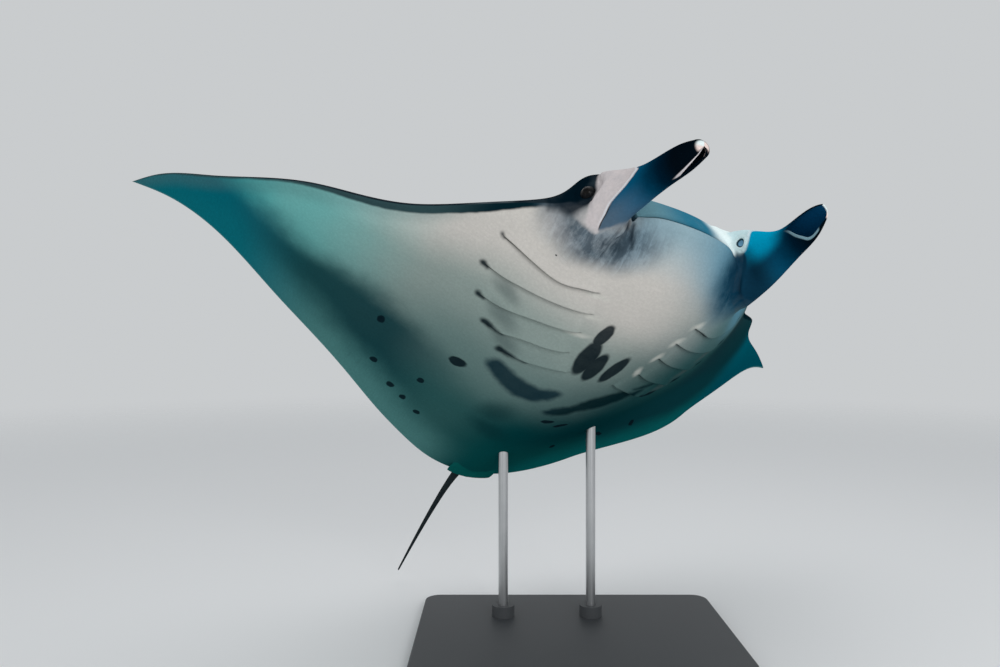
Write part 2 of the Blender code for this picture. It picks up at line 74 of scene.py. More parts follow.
bend = {
    "at": (0, 0.2, 0.6, 1.0, 1.35, 1.70),
    "right": (0, 6.5, 17.7, 23.1, 32.7, 46.7), "left": (0, 5.7, 24.2, 33.3, 43.7, 48.1),
    "twistFrom": 0.45, "twistMid": 1.0, "twistRight": (-5.4, -2.1), "twistLeft": (11.9, 43.7), "axisY": -0.75,
}
pose = {"heading": -139.35, "pitch": 39.38, "bank": -18.99, "at": (0.33, -0.53, 1.53)}


def spline(knots, values):
    # natural cubic spline through the values
    k, v = np.asarray(knots, float), np.asarray(values, float)
    n, h = len(k), np.diff(k)
    a, r = np.zeros((n, n)), np.zeros(n)
    a[0, 0] = a[-1, -1] = 1
    for i in range(1, n - 1):
        a[i, i - 1:i + 2] = h[i - 1], 2 * (h[i - 1] + h[i]), h[i]
        r[i] = 6 * ((v[i + 1] - v[i]) / h[i] - (v[i] - v[i - 1]) / h[i - 1])
    m = np.linalg.solve(a, r)

    def at(x):
        x = np.asarray(x, float)
        i = np.clip(np.searchsorted(k, x) - 1, 0, n - 2)
        p, q = (k[i + 1] - x) / h[i], (x - k[i]) / h[i]
        return p * v[i] + q * v[i + 1] + ((p ** 3 - p) * m[i] + (q ** 3 - q) * m[i + 1]) * h[i] ** 2 / 6
    return at


def evenSpline(knots, values):
    both = spline([-k for k in knots[:0:-1]] + list(knots), list(values[:0:-1]) + list(values))
    return lambda x: both(np.abs(x))


def oddSpline(knots, values):
    both = spline([-k for k in knots[:0:-1]] + list(knots), [-v for v in values[:0:-1]] + list(values))
    return lambda x: both(np.abs(x)) * np.sign(x)


frontX, frontY = oddSpline(disc["frontAt"], disc["frontX"]), evenSpline(disc["frontAt"], disc["frontY"])
rearY, mouthZ = evenSpline(disc["rearAt"], disc["rearY"]), evenSpline(disc["mouthAt"], disc["mouthZ"])
wingThick = evenSpline(disc["wingAt"], disc["wingThick"])
backRise, backWide = spline(disc["bodyY"], disc["backRise"]), spline(disc["bodyY"], disc["backWide"])
bellyDrop, bellyWide = spline(disc["bodyY"], disc["bellyDrop"]), spline(disc["bodyY"], disc["bellyWide"])
bodySquare = spline(disc["bodyY"], disc["bodySquare"])


def smoothStep(q):
    q = np.clip(q, 0, 1)
    return q * q * (3 - 2 * q)


def bump(distance, width):
    return np.exp(-(distance / width) ** 2)


def rounded(q):
    return np.sqrt(1 - (1 - np.clip(q, 0, 1)) ** 2)


def wingSection(c):
    # thickness along a wing from its front edge to its rear
    root = 0.2969 * np.sqrt(np.clip(c, 0, 1))
    return 10 * (root - 0.126 * c - 0.3516 * c ** 2 + 0.2843 * c ** 3 - 0.1036 * c ** 4)


def discPoint(s, c, side):
    # s from -1 to 1 along the span, c from the front edge to the rear, side 1 back or -1 belly
    fx, fy, rx, ry = frontX(s), frontY(s), disc["halfSpan"] * s, rearY(s)
    x, y = fx + (rx - fx) * c, fy + (ry - fy) * c
    chord = np.hypot(rx - fx, ry - fy)
    along = c * chord
    thick = wingThick(s) * wingSection(c)
    fade = rounded((chord - along) / disc["rumpRound"])
    edge = 0.5 * disc["edgeThick"] * rounded(np.minimum(c, 1 - c) * chord / disc["edgeRun"])
    if side > 0:
        grow = rounded(along / disc["lipRound"])
        wide = np.where(np.abs(x) > disc["browX"], disc["browOut"], disc["browIn"])
        brow = bump(np.abs(x) - disc["browX"], wide) * bump(y - disc["browY"], disc["browLong"])
        hump = backRise(y) * np.exp(-(np.abs(x) / backWide(y)) ** bodySquare(y)) + disc["browRise"] * brow
        z = mouthZ(s) * (1 - grow) + 0.6 * thick + edge + hump * grow * fade
    else:
        grow = rounded(along / disc["chinRound"])
        hump = bellyDrop(y) * np.exp(-(np.abs(x) / bellyWide(y)) ** bodySquare(y))
        z = mouthZ(s) * (1 - grow) - 0.4 * thick - edge - hump * grow * fade
    return np.stack(np.broadcast_arrays(x, y, z), -1)


def bent(points):
    # raises and twists the wings of flat points
    out = np.array(points, float)
    half = disc["halfSpan"]
    grid = np.linspace(0, 1.06 * half, 361)
    step = grid[1] - grid[0]
    sides = ((1, bend["right"], bend["twistRight"]), (-1, bend["left"], bend["twistLeft"]))
    for sign, lift, twist in sides:
        here = out[:, 0] * sign > 0
        span, y, z = np.abs(out[here, 0]), out[here, 1] - bend["axisY"], out[here, 2]
        slope = np.radians(spline(bend["at"], lift)(np.minimum(grid, half)))
        middle = 0.5 * (slope[1:] + slope[:-1])
        reach = np.interp(span, grid, np.append(0, np.cumsum(np.cos(middle)) * step))
        height = np.interp(span, grid, np.append(0, np.cumsum(np.sin(middle)) * step))
        tilt = np.interp(span, grid, slope)
        first = smoothStep((span - bend["twistFrom"]) / (bend["twistMid"] - bend["twistFrom"]))
        last = smoothStep((span - bend["twistMid"]) / (half - bend["twistMid"]))
        turn = np.radians(twist[0] * first + (twist[1] - twist[0]) * last)
        up = y * np.sin(turn) + z * np.cos(turn)
        out[here, 0] = sign * (reach - np.sin(tilt) * up)
        out[here, 1] = bend["axisY"] + y * np.cos(turn) - z * np.sin(turn)
        out[here, 2] = height + np.cos(tilt) * up
    return out


def posed(points):
    turns = [Matrix.Rotation(math.radians(pose[name]), 4, axis)
             for name, axis in (("heading", "Z"), ("pitch", "X"), ("bank", "Y"))]
    place = np.array(Matrix.Translation(pose["at"]) @ turns[0] @ turns[1] @ turns[2])
    return bent(points) @ place[:3, :3].T + place[:3, 3]


# meshes
def meshObject(name, points, faces, layers=None):
    # faces is one array for each number of corners
    mesh = bpy.data.meshes.new(name)
    sizes = np.concatenate([np.full(len(f), f.shape[1]) for f in faces])
    corners = np.concatenate([f.ravel() for f in faces])
    mesh.vertices.add(len(points))
    mesh.vertices.foreach_set("co", np.asarray(points, np.float32).ravel())
    mesh.loops.add(len(corners))
    mesh.loops.foreach_set("vertex_index", corners.astype(np.int32))
    mesh.polygons.add(len(sizes))
    mesh.polygons.foreach_set("loop_start", (np.cumsum(sizes) - sizes).astype(np.int32))
    mesh.update(calc_edges=True)
    for layer, values in (layers or {}).items():
        writeLayer(mesh, layer, values)
    thing = bpy.data.objects.new(name, mesh)
    bpy.context.scene.collection.objects.link(thing)
    return thing


def loftFaces(rings, count, firstPole, lastPole):
    # quads between closed rings, then a fan to each pole, all facing outward
    i, j = np.meshgrid(np.arange(rings - 1), np.arange(count), indexing="ij")
    k = (j + 1) % count
    quads = np.stack([i * count + j, i * count + k, (i + 1) * count + k, (i + 1) * count + j], -1)
    j, k = np.arange(count), (np.arange(count) + 1) % count
    last = (rings - 1) * count
    fans = np.concatenate([np.stack([k, j, np.full(count, firstPole)], -1),
                           np.stack([last + j, last + k, np.full(count, lastPole)], -1)])
    return [quads.reshape(-1, 4), fans]


def outward(thing):
    # turns the faces round if the closed mesh is inside out
    corners = triangleCorners(thing.data)
    a, b, c = (pointsOf(thing.data)[corners[:, i]] for i in range(3))
    if np.einsum("ij,ij->i", a, np.cross(b, c)).sum() < 0:
        thing.data.flip_normals()
    return thing


def triangleCorners(mesh):
    mesh.calc_loop_triangles()
    corners = np.zeros(len(mesh.loop_triangles) * 3, np.int32)
    mesh.loop_triangles.foreach_get("vertices", corners)
    return corners.reshape(-1, 3)


def vectorsOf(items, name):
    flat = np.zeros(len(items) * 3, np.float32)
    items.foreach_get(name, flat)
    return flat.reshape(-1, 3).astype(float)


def pointsOf(mesh):
    return vectorsOf(mesh.vertices, "co")


def normalsOf(mesh):
    return vectorsOf(mesh.vertices, "normal")


def readLayer(mesh, name):
    return vectorsOf(mesh.attributes[name].data, "vector")


def writeLayer(mesh, name, values):
    layer = mesh.attributes.get(name) or mesh.attributes.new(name, "FLOAT_VECTOR", "POINT")
    layer.data.foreach_set("vector", np.asarray(values, np.float32).ravel())


def movePoints(mesh, points):
    mesh.vertices.foreach_set("co", points.astype(np.float32).ravel())
    mesh.update()


def smoothShaded(mesh):
    mesh.polygons.foreach_set("use_smooth", np.ones(len(mesh.polygons), bool))
    mesh.update()


def spread(*runs):
    # numbers from 0 to 1 that step by each (until, step) in turn
    at = [0.0]
    for until, step in runs:
        while at[-1] < until - step / 2:
            at.append(at[-1] + step)
    return np.array(at) / at[-1]


def closedLoft(name, points, layers):
    # rings of points with a pole at each end
    rings, count = points.shape[:2]
    poles = np.array([points[0].mean(0), points[-1].mean(0)])
    points = np.concatenate([points.reshape(-1, 3), poles])
    faces = loftFaces(rings, count, len(points) - 2, len(points) - 1)
    return outward(meshObject(name, points, faces, layers))


# relief of the skin
mouth = {"halfWide": 0.200, "cornerFade": 0.022, "fold": 0.016, "deep": 0.035, "gap": 0.008, "back": 0.12,
         "lipRidge": 0.0035, "ridgeAt": 0.016, "ridgeWide": 0.008}
gills = {
    # each slit from its outer end to its inner end, on the right side
    "slits": (
        ((0.511, -0.322), (0.444, -0.324), (0.321, -0.326), (0.251, -0.301), (0.192, -0.278)),
        ((0.510, -0.435), (0.436, -0.430), (0.325, -0.405), (0.239, -0.380), (0.169, -0.354)),
        ((0.471, -0.541), (0.396, -0.528), (0.309, -0.495), (0.223, -0.464), (0.160, -0.436)),
        ((0.403, -0.624), (0.347, -0.616), (0.292, -0.588), (0.219, -0.563), (0.145, -0.530)),
        ((0.314, -0.687), (0.273, -0.675), (0.231, -0.662), (0.159, -0.634), (0.096, -0.613)),
    ),
    "flapRise": 0.0105, "flapRun": 0.040, "slitDeep": 0.0080, "slitRun": 0.012, "edgeSoft": 0.0034,
    "leftIn": 0.032,  # how much nearer the middle the left ones lie
}
eyes = {"at": (0.335, -0.099, 0.023), "radius": 0.028, "sits": 0.008, "look": (0.80, 0.52, -0.28),
        "lidRise": 0.006, "lidAt": 0.035, "lidWide": 0.008, "slant": (0.1, 1, -0.25), "narrow": 1.3,
        "socket": 0.036, "socketSoft": 0.026, "reach": 0.075}
nostrils = {"at": (0.246, -0.028, 0.002), "radius": 0.014, "deep": 0.005, "rim": 0.0028, "rimWide": 0.005}


def slitCurve(points, count=41):
    t = np.linspace(0, 1, len(points))
    fine = np.linspace(0, 1, count)
    return np.stack([spline(t, [p[i] for p in points])(fine) for i in (0, 1)], -1)


def nearCurve(xy, curve):
    # distance (positive ahead of the curve) and place along it
    best, signed, place = np.full(len(xy), 9.0), np.zeros(len(xy)), np.zeros(len(xy))
    for i in range(len(curve) - 1):
        a, d = curve[i], curve[i + 1] - curve[i]
        t = np.clip(((xy - a) @ d) / (d @ d), 0, 1)
        off = xy - a - t[:, None] * d
        far = np.hypot(off[:, 0], off[:, 1])
        side = np.where(d[0] * off[:, 1] - d[1] * off[:, 0] > 0, -1, 1)
        closer = far < best
        best, signed = np.where(closer, far, best), np.where(closer, far * side, signed)
        place = np.where(closer, (i + t) / (len(curve) - 1), place)
    return signed, place


def gillRelief(points):
    # height of the flaps, and how deep in a slit each point is
    height, inSlit = np.zeros(len(points)), np.zeros(len(points))
    near = (np.abs(points[:, 0]) < 0.60) & (points[:, 1] > -0.80) & (points[:, 1] < -0.20)
    x, y = points[near, 0], points[near, 1]
    xy = np.stack([np.abs(x) + np.where(x < 0, gills["leftIn"], 0), y], -1)
    rise, slit = np.zeros(len(xy)), np.zeros(len(xy))
    for line in gills["slits"]:
        signed, place = nearCurve(xy, slitCurve(line))
        ends = smoothStep(place / 0.10) * smoothStep((1 - place) / 0.08)
        fade = smoothStep(place / 0.30) * smoothStep((1 - place) / 0.09)
        ahead = smoothStep(0.5 + signed / (2 * gills["edgeSoft"]))
        flap = gills["flapRise"] * np.exp(-np.abs(signed) / gills["flapRun"]) * (0.25 * ends + 0.75 * fade)
        drop = -gills["slitDeep"] * np.exp(-np.abs(signed) / gills["slitRun"]) * ends
        rise += flap * ahead + drop * (1 - ahead)
        slit = np.maximum(slit, ends * bump(signed + 0.002, 0.0028))
    height[near], inSlit[near] = rise, slit
    return height, inSlit


def headRelief(points, angle, crease):
    # nostrils and the crease round each horn's root: how far a point moves out along its normal
    mirrored = np.stack([np.abs(points[:, 0]), points[:, 1], points[:, 2]], -1)
    fromNostril = np.linalg.norm((mirrored - np.array(nostrils["at"])) * (1, 1, 0.8), axis=1)
    rise = -nostrils["deep"] * smoothStep(1.15 - fromNostril / nostrils["radius"])
    rise += nostrils["rim"] * bump(fromNostril - 1.45 * nostrils["radius"], nostrils["rimWide"])
    kept = 1 - smoothStep((angle - 2.4) / 0.4) * smoothStep((4.7 - angle) / 0.4)  # none under the horn
    fold = 0.35 * bump(crease + 0.020, 0.016) - 0.7 * bump(crease, 0.009)
    return rise + horn["creaseDeep"] * kept * fold


def lidded(points):
    # the skin drawn in round each eye, with a raised rim of lid
    side = np.where(points[:, 0] < 0, -1.0, 1.0)[:, None] * (1, 0, 0) + (0, 1, 1)
    gaze = np.array(eyes["look"]) / np.linalg.norm(eyes["look"])
    long = np.cross(np.cross(gaze, eyes["slant"]), gaze)
    long /= np.linalg.norm(long)
    off = points * side - np.array(eyes["at"])
    height, along, across = off @ gaze, off @ long, off @ np.cross(gaze, long)
    oval = np.hypot(along, across * eyes["narrow"])
    wanted = eyes["sits"] + eyes["lidRise"] * bump(oval - eyes["lidAt"], eyes["lidWide"])
    weight = 1 - smoothStep((np.hypot(along, across) - eyes["socket"]) / eyes["socketSoft"])
    weight *= np.linalg.norm(off, axis=1) < eyes["reach"]
    return points + side * (gaze * ((wanted - height) * weight)[:, None])


# the disc of the body
# each point of the skin carries three layers that the finish reads:
#   part: belly, on a horn, in a hollow
#   trim: place along a horn, in a gill slit, near a slot's rim
#   reach: from the front edge (on a horn the angle round it), from the rear edge, past the crease
def foldedPoint(s, c, side):
    # the disc, with its front edge drawn in between the lips
    chord = np.hypot(disc["halfSpan"] * s - frontX(s), rearY(s) - frontY(s))
    along = c * chord
    atMouth = 1 - smoothStep((np.abs(frontX(s)) - mouth["halfWide"]) / mouth["cornerFade"])
    late = np.maximum(along - mouth["fold"], 0)
    kept = np.maximum(along - mouth["fold"] * (1 - smoothStep(late / mouth["back"])), 0)
    points = discPoint(s, np.where(atMouth > 0, c + (kept / chord - c) * atMouth, c), side)
    inside = np.clip(1 - along / mouth["fold"], 0, 1)
    points[..., 1] -= mouth["deep"] * inside * atMouth
    gape = np.where(inside > 0, np.sqrt(1 - inside), np.exp(-late / 0.03))
    points[..., 2] += side * 0.5 * mouth["gap"] * gape * atMouth
    ridge = bump(late - mouth["ridgeAt"], mouth["ridgeWide"]) * atMouth
    points[..., 1] += mouth["lipRidge"] * (1.4 if side > 0 else 0.8) * ridge
    return points, smoothStep((inside - 0.05) / 0.3) * atMouth


def gridNormals(points):
    across, down = np.gradient(points, axis=0), np.gradient(points, axis=1)
    normal = np.cross(across, down)
    return normal / np.maximum(np.linalg.norm(normal, axis=-1, keepdims=True), 1e-12)


def bodyDisc():
    half = spread(*disc["stations"]) * disc["stations"][-1][0]
    s = np.concatenate([-half[:0:-1], half])[:, None]
    sheets, layers = [], []
    for side, rows in ((1, "backRows"), (-1, "bellyRows")):
        c = spread(*disc[rows])[None, :]
        points, inMouth = foldedPoint(s, c, side)
        flatPoints = points.reshape(-1, 3)
        rise, slit = gillRelief(flatPoints) if side < 0 else np.zeros((2, len(flatPoints)))
        normals = gridNormals(points).reshape(-1, 3) * -side
        inward = np.broadcast_to(np.minimum(c, 1 - c) / 0.004, points.shape[:2]).ravel()
        rise = rise * smoothStep(inward)
        points = (flatPoints + normals * rise[:, None]).reshape(points.shape)
        chord = np.hypot(disc["halfSpan"] * s - frontX(s), rearY(s) - frontY(s))
        belly = np.full(points.shape[:2], 0.0 if side > 0 else 1.0)
        belly[:, 0], belly[:, -1] = 0.5, 0.5
        part = np.stack([belly, np.zeros_like(belly), np.broadcast_to(inMouth, belly.shape)], -1)
        trim = np.stack([np.zeros_like(belly), slit.reshape(belly.shape), np.zeros_like(belly)], -1)
        reach = np.stack(np.broadcast_arrays(c * chord, (1 - c) * chord, -0.2 + 0 * belly), -1)
        if side > 0:
            sheets.append(points)
            layers.append((part, trim, reach))
        else:
            sheets.append(points[:, -2:0:-1])
            layers.append([layer[:, -2:0:-1] for layer in (part, trim, reach)])
    points = np.concatenate(sheets, 1)
    part, trim, reach = (np.concatenate([pair[i] for pair in layers], 1).reshape(-1, 3) for i in range(3))
    stations, count = points.shape[:2]
    tips = np.array([discPoint(np.array(sign), np.array(0.5), 1) for sign in (-1.0, 1.0)])
    points = np.concatenate([points.reshape(-1, 3), tips])
    part, trim, reach = (np.concatenate([layer, layer[[0, -1]]]) for layer in (part, trim, reach))
    faces = loftFaces(stations, count, stations * count, stations * count + 1)
    return outward(meshObject("disc", points, faces, {"part": part, "trim": trim, "reach": reach}))


# cephalic fins, tail and small fins
horn = {
    "x": (0.288, 0.286, 0.275, 0.258, 0.244, 0.233, 0.225),
    "y": (-0.156, -0.091, -0.020, 0.060, 0.134, 0.200, 0.250),
    "zRight": (0.000, -0.010, -0.049, -0.073, -0.089, -0.109, -0.126),
    "zLeft": (-0.006, -0.035, -0.085, -0.125, -0.143, -0.153, -0.153),
    "tall": (0.102, 0.122, 0.104, 0.070, 0.054, 0.046, 0.028),
    "thick": (0.030, 0.036, 0.040, 0.041, 0.040, 0.038, 0.030),
    "lean": (-0.08, 0.62, 1.0), "wall": 0.006, "hollowTo": 0.50, "inner": 46, "sides": 132,
    "long": 0.47, "girth": 0.036, "tipRun": 0.052, "end": 1.0518,
    # how far the rolled wall reaches at each angle, from the top outward and round
    "rimRightAt": (0, 60, 120, 160, 172, 180, 188, 197, 208, 216, 223, 230, 240, 280, 320, 360),
    "rimRight": (1.0518, 1.0518, 1.0518, 1.0518, 1.03, 0.95, 0.865, 0.805, 0.785, 0.80, 0.93, 1.046, 1.0518,
                 1.0518, 1.0518, 1.0518),
    "rimLeftAt": (0, 45, 90, 118, 150, 166, 176, 192, 210, 228, 250, 272, 290, 308, 322, 340, 360),
    "rimLeft": (0.95, 1.02, 1.03, 1.02, 0.99, 0.95, 0.89, 0.83, 0.805, 0.78, 0.74, 0.70, 0.66, 0.625, 0.66,
                0.80, 0.95),
    # where the dark horn starts at each angle, and the depth of the crease there
    "creaseAngle": (0, 45, 62, 82, 100, 110, 120, 136, 150, 162, 178, 200, 220, 246, 272, 288, 310, 344, 360),
    "creaseAt": (0.36, 0.48, 0.50, 0.49, 0.45, 0.41, 0.37, 0.34, 0.30, 0.27, 0.25, 0.24, 0.24, 0.22, 0.22,
                 0.28, 0.30, 0.30, 0.36),
    "creaseDeep": 0.004,
}
tail = {"fromY": -1.40, "long": 0.80, "root": 0.030, "middle": 0.0155, "tip": 0.0035, "rise": 0.016,
        "sag": -0.115, "sway": 0.050, "rows": 120, "sides": 40}
dorsalFin = {"front": ((0, -1.340, 0.020), (0, -1.385, 0.055), (0, -1.435, 0.088), (0, -1.468, 0.106)),
             "rear": ((0, -1.462, 0.002), (0, -1.474, 0.034), (0, -1.490, 0.072), (0, -1.496, 0.100)),
             "halfThick": 0.010, "across": (1, 0, 0)}
pelvicFin = {"front": ((0.045, -1.330, -0.022), (0.087, -1.400, -0.028), (0.103, -1.462, -0.029),
                       (0.097, -1.508, -0.025)),
             "rear": ((0.004, -1.330, -0.022), (-0.004, -1.400, -0.028), (-0.006, -1.468, -0.031),
                      (-0.006, -1.514, -0.027)),
             "halfThick": 0.007, "across": (0, 0, 1)}


def hornSection(q, angle, sign, inset, shrink=1.0):
    # q runs from the root to the tip, angle from the top outward and round
    t = np.linspace(0, 1, len(horn["x"]))
    inside = np.clip(q, 0, 1)
    x, y, z = (spline(t, horn[name])(q) for name in ("x", "y", "zRight" if sign > 0 else "zLeft"))
    tall, thick = (spline(t, horn[name])(inside) for name in ("tall", "thick"))
    end = np.sqrt(np.clip(1 - (np.maximum(q - 1, 0) / horn["tipRun"]) ** 2, 0.0009, 1))
    up = np.array(horn["lean"]) / np.linalg.norm(horn["lean"])
    high, wide = (tall - inset) * end * shrink, (thick - inset) * end * shrink
    point = np.stack(np.broadcast_arrays(x, y, z), -1) + up * (high * np.cos(angle))[..., None]
    point[..., 0] += wide * np.sin(angle)
    return point * (sign, 1, 1)


def cephalicFin(sign):
    # a fin rolled into a horn, open where its wall stops short
    angle = np.linspace(0, 2 * math.pi, horn["sides"], endpoint=False)
    name = "rimRight" if sign > 0 else "rimLeft"
    turned = np.degrees(angle)
    around, reach = np.array(horn[name + "At"], float), horn[name]
    thrice = np.concatenate([around - 360, around[1:], around[1:] + 360])  # so that the rim closes smoothly
    rim = spline(thrice, reach + reach[1:] + reach[1:])(turned)
    rim = np.minimum(rim, horn["end"])
    crease = np.interp(turned, horn["creaseAngle"], horn["creaseAt"])
    rows = spread((0.52, 0.0048), (1, 0.011))[:, None]
    q = rows + (rim[None] - 1) * smoothStep((rows - 0.35) / 0.65)
    wall, long = horn["wall"], horn["long"]
    # one edge of the right roll lies a little under the other
    seam = smoothStep((q - 0.25) / 0.2) * smoothStep((turned[None] - 150) / 60) * (turned[None] < 215)
    seam = wall * 0.45 * seam * (sign > 0)
    outer = hornSection(q, angle[None], sign, seam)
    fromRim = (rim[None] - q) * long / np.hypot(1, long * np.gradient(rim, angle) / horn["girth"])
    turn = np.linspace(0, math.pi, 9)[1:-1][:, None]
    lip = hornSection(rim[None] + 0.5 * wall / long * np.sin(turn), angle[None], sign,
                      0.5 * wall * (1 - np.cos(turn)) + seam[-1:])
    v = np.linspace(0, 1, horn["inner"])[:, None]
    innerQ = rim[None] + (horn["hollowTo"] - rim[None]) * v
    closing = np.sqrt(np.clip(1 - v ** 4, 0.0004, 1))
    inner = hornSection(innerQ, angle[None], sign, wall + seam[-1:] * (1 - v), closing)
    points = np.concatenate([outer, lip, inner])
    place = np.concatenate([q, np.broadcast_to(rim, lip.shape[:2]), innerQ])
    overLip = np.tile(smoothStep(turn / math.pi - 0.4), (1, len(angle)))
    hollow = np.concatenate([np.zeros(outer.shape[:2]), overLip, np.ones(inner.shape[:2])])
    edge = np.concatenate([np.exp(-fromRim / 0.010), np.ones(lip.shape[:2]),
                           np.exp(-v * (rim[None] - horn["hollowTo"]) / 0.012)])
    ones = np.ones(points.shape[:2])
    part = np.stack([ones, ones, hollow], -1).reshape(-1, 3)
    trim = np.stack([place, ones * 0, edge], -1).reshape(-1, 3)
    reachLayer = np.stack([np.broadcast_to(angle, ones.shape), ones, place - crease[None]], -1).reshape(-1, 3)
    layers = {"part": part, "trim": trim, "reach": reachLayer}
    layers = {name: np.concatenate([values, values[[0, -1]]]) for name, values in layers.items()}
    return closedLoft("horn", points, layers)


def bladeLoft(fin, sign, levels=60, sides=72):
    # lens sections from root to tip, rounded off at the tip
    t = np.linspace(0, 1, len(fin["front"]))
    q = np.sin(np.linspace(0, math.pi / 2, levels))[:, None]
    lead, trail = (np.stack([spline(t, [p[i] for p in fin[edge]])(q) for i in range(3)], -1)
                   for edge in ("front", "rear"))
    blunt = np.sqrt(np.clip(1 - (np.maximum(q - 0.86, 0) / 0.145) ** 2, 0, 1))[..., None]
    half = (lead - trail) / 2 * blunt
    middle = trail + half
    a = np.linspace(0, 2 * math.pi, sides, endpoint=False)[None, :, None]
    thick = fin["halfThick"] * (1 - 0.72 * q[..., None]) * (0.35 + 0.65 * blunt)
    points = middle + half * np.cos(a) + np.array(fin["across"], float) * thick * np.sin(a)
    return points * (sign, 1, 1)


def tailLoft():
    q = (np.linspace(0, 1, tail["rows"]) ** 1.2)[:, None]
    a = np.linspace(0, 2 * math.pi, tail["sides"], endpoint=False)[None]
    radius = tail["tip"] + (tail["middle"] - tail["tip"]) * (1 - q)
    radius = radius + (tail["root"] - tail["middle"]) * np.exp(-9 * q)
    radius = radius * np.sqrt(np.clip(1 - (np.maximum(q - 0.985, 0) / 0.0151) ** 2, 0.01, 1))
    x = tail["sway"] * (1 - np.exp(-8 * q)) * (1 - q) + radius * np.cos(a)
    y = tail["fromY"] - tail["long"] * q + 0 * a
    z = tail["rise"] * (1 - q) + tail["sag"] * q ** 1.4 + radius * np.sin(a)
    return np.stack([x, y, z], -1)


def plainPiece(name, points, part, trim, fromRear=1.0):
    # a closed loft with the same layer values all over
    count = points.shape[0] * points.shape[1] + 2
    layers = {"part": part, "trim": trim, "reach": (1.0, fromRear, -0.2)}
    return closedLoft(name, points, {layer: np.tile(value, (count, 1)) for layer, value in layers.items()})


# one skin: widths of the fillets where the pieces meet, and where on the body each one holds
joins = {"horn": 0.022, "tail": 0.030, "fin": 0.010, "hornFrom": -0.5, "tailFrom": -1.50, "near": 0.06,
         "block": 20000, "carry": 6, "rounds": 90, "pull": 0.6}
collar = {"medial": 0.030, "outer": 0.110, "under": 0.100, "eyeKeep": 0.034, "eyeFade": 0.050,
          "hornFrom": 0.12}


def collarWidth(points):
    # how wide the fillet round a horn's root is at each point
    ax, y, z = np.abs(points[:, 0]), points[:, 1], points[:, 2]
    outer = smoothStep((ax - 0.262) / 0.045)
    under = smoothStep((-0.045 - z) / 0.05) * smoothStep((ax - 0.225) / 0.04)
    wide = collar["medial"] + np.maximum((collar["outer"] - collar["medial"]) * outer,
                                         (collar["under"] - collar["medial"]) * under)
    fromEye = np.linalg.norm(np.stack([ax, y, z], -1) - np.array(eyes["at"]), axis=1)
    return wide, smoothStep((fromEye - collar["eyeKeep"]) / collar["eyeFade"])


def swell(mesh, other, window):
    # pushes the surface out beside another one, so that the two meet in a fillet
    points, normals = pointsOf(mesh), normalsOf(mesh)
    chosen = np.nonzero(window(points))[0]
    found = [other.find_nearest(p) for p in points[chosen]]
    gap = np.array([hit[3] for hit in found])
    facing = np.einsum("ij,ij->i", np.array([tuple(hit[1]) for hit in found]), normals[chosen])
    wide, fade = collarWidth(points[chosen])
    lean = np.clip(1 - facing, 0.05, 1.6)
    rest = 1 - np.minimum(gap / wide, 1)
    half = 4 - 2 * lean * rest
    share = (half - np.sqrt(np.maximum(half ** 2 - 4 * (lean * rest) ** 2, 0))) / (2 * lean ** 2)
    points[chosen] += normals[chosen] * (wide * np.minimum(share, 0.257) * fade)[:, None]
    movePoints(mesh, points)


def treeOf(mesh, fromPlace=-9.0):
    # for nearest points; on a horn only what lies past the given place
    corners = triangleCorners(mesh)
    corners = corners[readLayer(mesh, "trim")[corners, 0].min(1) > fromPlace]
    return BVHTree.FromPolygons(pointsOf(mesh).tolist(), corners.tolist())


def absorb(body, other):
    join = body.modifiers.new("join", "BOOLEAN")
    join.operation, join.solver, join.object = "UNION", "MANIFOLD", other
    shape = body.evaluated_get(bpy.context.evaluated_depsgraph_get())
    mesh = bpy.data.meshes.new_from_object(shape)
    body.modifiers.clear()
    body.data = mesh
    bpy.data.objects.remove(other, do_unlink=True)


def neighbourSums(edges, values, count):
    # for each point, the sum of the values of the points that an edge joins it to
    a, b = edges.T
    sums = [np.bincount(a, column[b], count) + np.bincount(b, column[a], count) for column in values.T]
    return np.stack(sums, -1)


def softenJoins(mesh):
    # fillets the lines where pieces meet and carries the layers over them
    points = pointsOf(mesh)
    part, trim, reach = (readLayer(mesh, name) for name in ("part", "trim", "reach"))
    fresh = np.abs(reach).sum(1) == 0  # points that the unions made
    edges = np.zeros(len(mesh.edges) * 2, np.int32)
    mesh.edges.foreach_get("vertices", edges)
    edges = edges.reshape(-1, 2)
    seam = points[fresh]
    width = np.where(seam[:, 1] < joins["tailFrom"], joins["tail"], joins["fin"])
    width[seam[:, 1] > joins["hornFrom"]] = joins["horn"]
    weight, size = np.zeros(len(points)), joins["block"]
    for low in range(0, len(points), size):
        block = points[low:low + size]
        if np.abs(block[:, None, 1] - seam[None, :, 1]).min() <= joins["near"]:
            far = np.linalg.norm(block[:, None] - seam[None], axis=2) / width[None]
            weight[low:low + size] = smoothStep(1 - far.min(1))
    edges = edges[weight[edges].max(1) > 0]
    degree = neighbourSums(edges, np.ones((len(points), 1)), len(points))
    moving = (weight > 0) & (degree[:, 0] > 0)
    for layer in (part, trim, reach):
        known = (~fresh).astype(float)[:, None]
        for _ in range(joins["carry"]):
            total, count = (neighbourSums(edges, values, len(points)) for values in (layer * known, known))
            fill = fresh & (count[:, 0] > 0)
            layer[fill] = total[fill] / count[fill]
            known = np.ones((len(points), 1))
    for _ in range(joins["rounds"]):
        for values in (points, part, reach):
            mean = neighbourSums(edges, values, len(points))[moving] / degree[moving]
            values[moving] += (mean - values[moving]) * (joins["pull"] * weight[moving])[:, None]
    return points, part, trim, reach


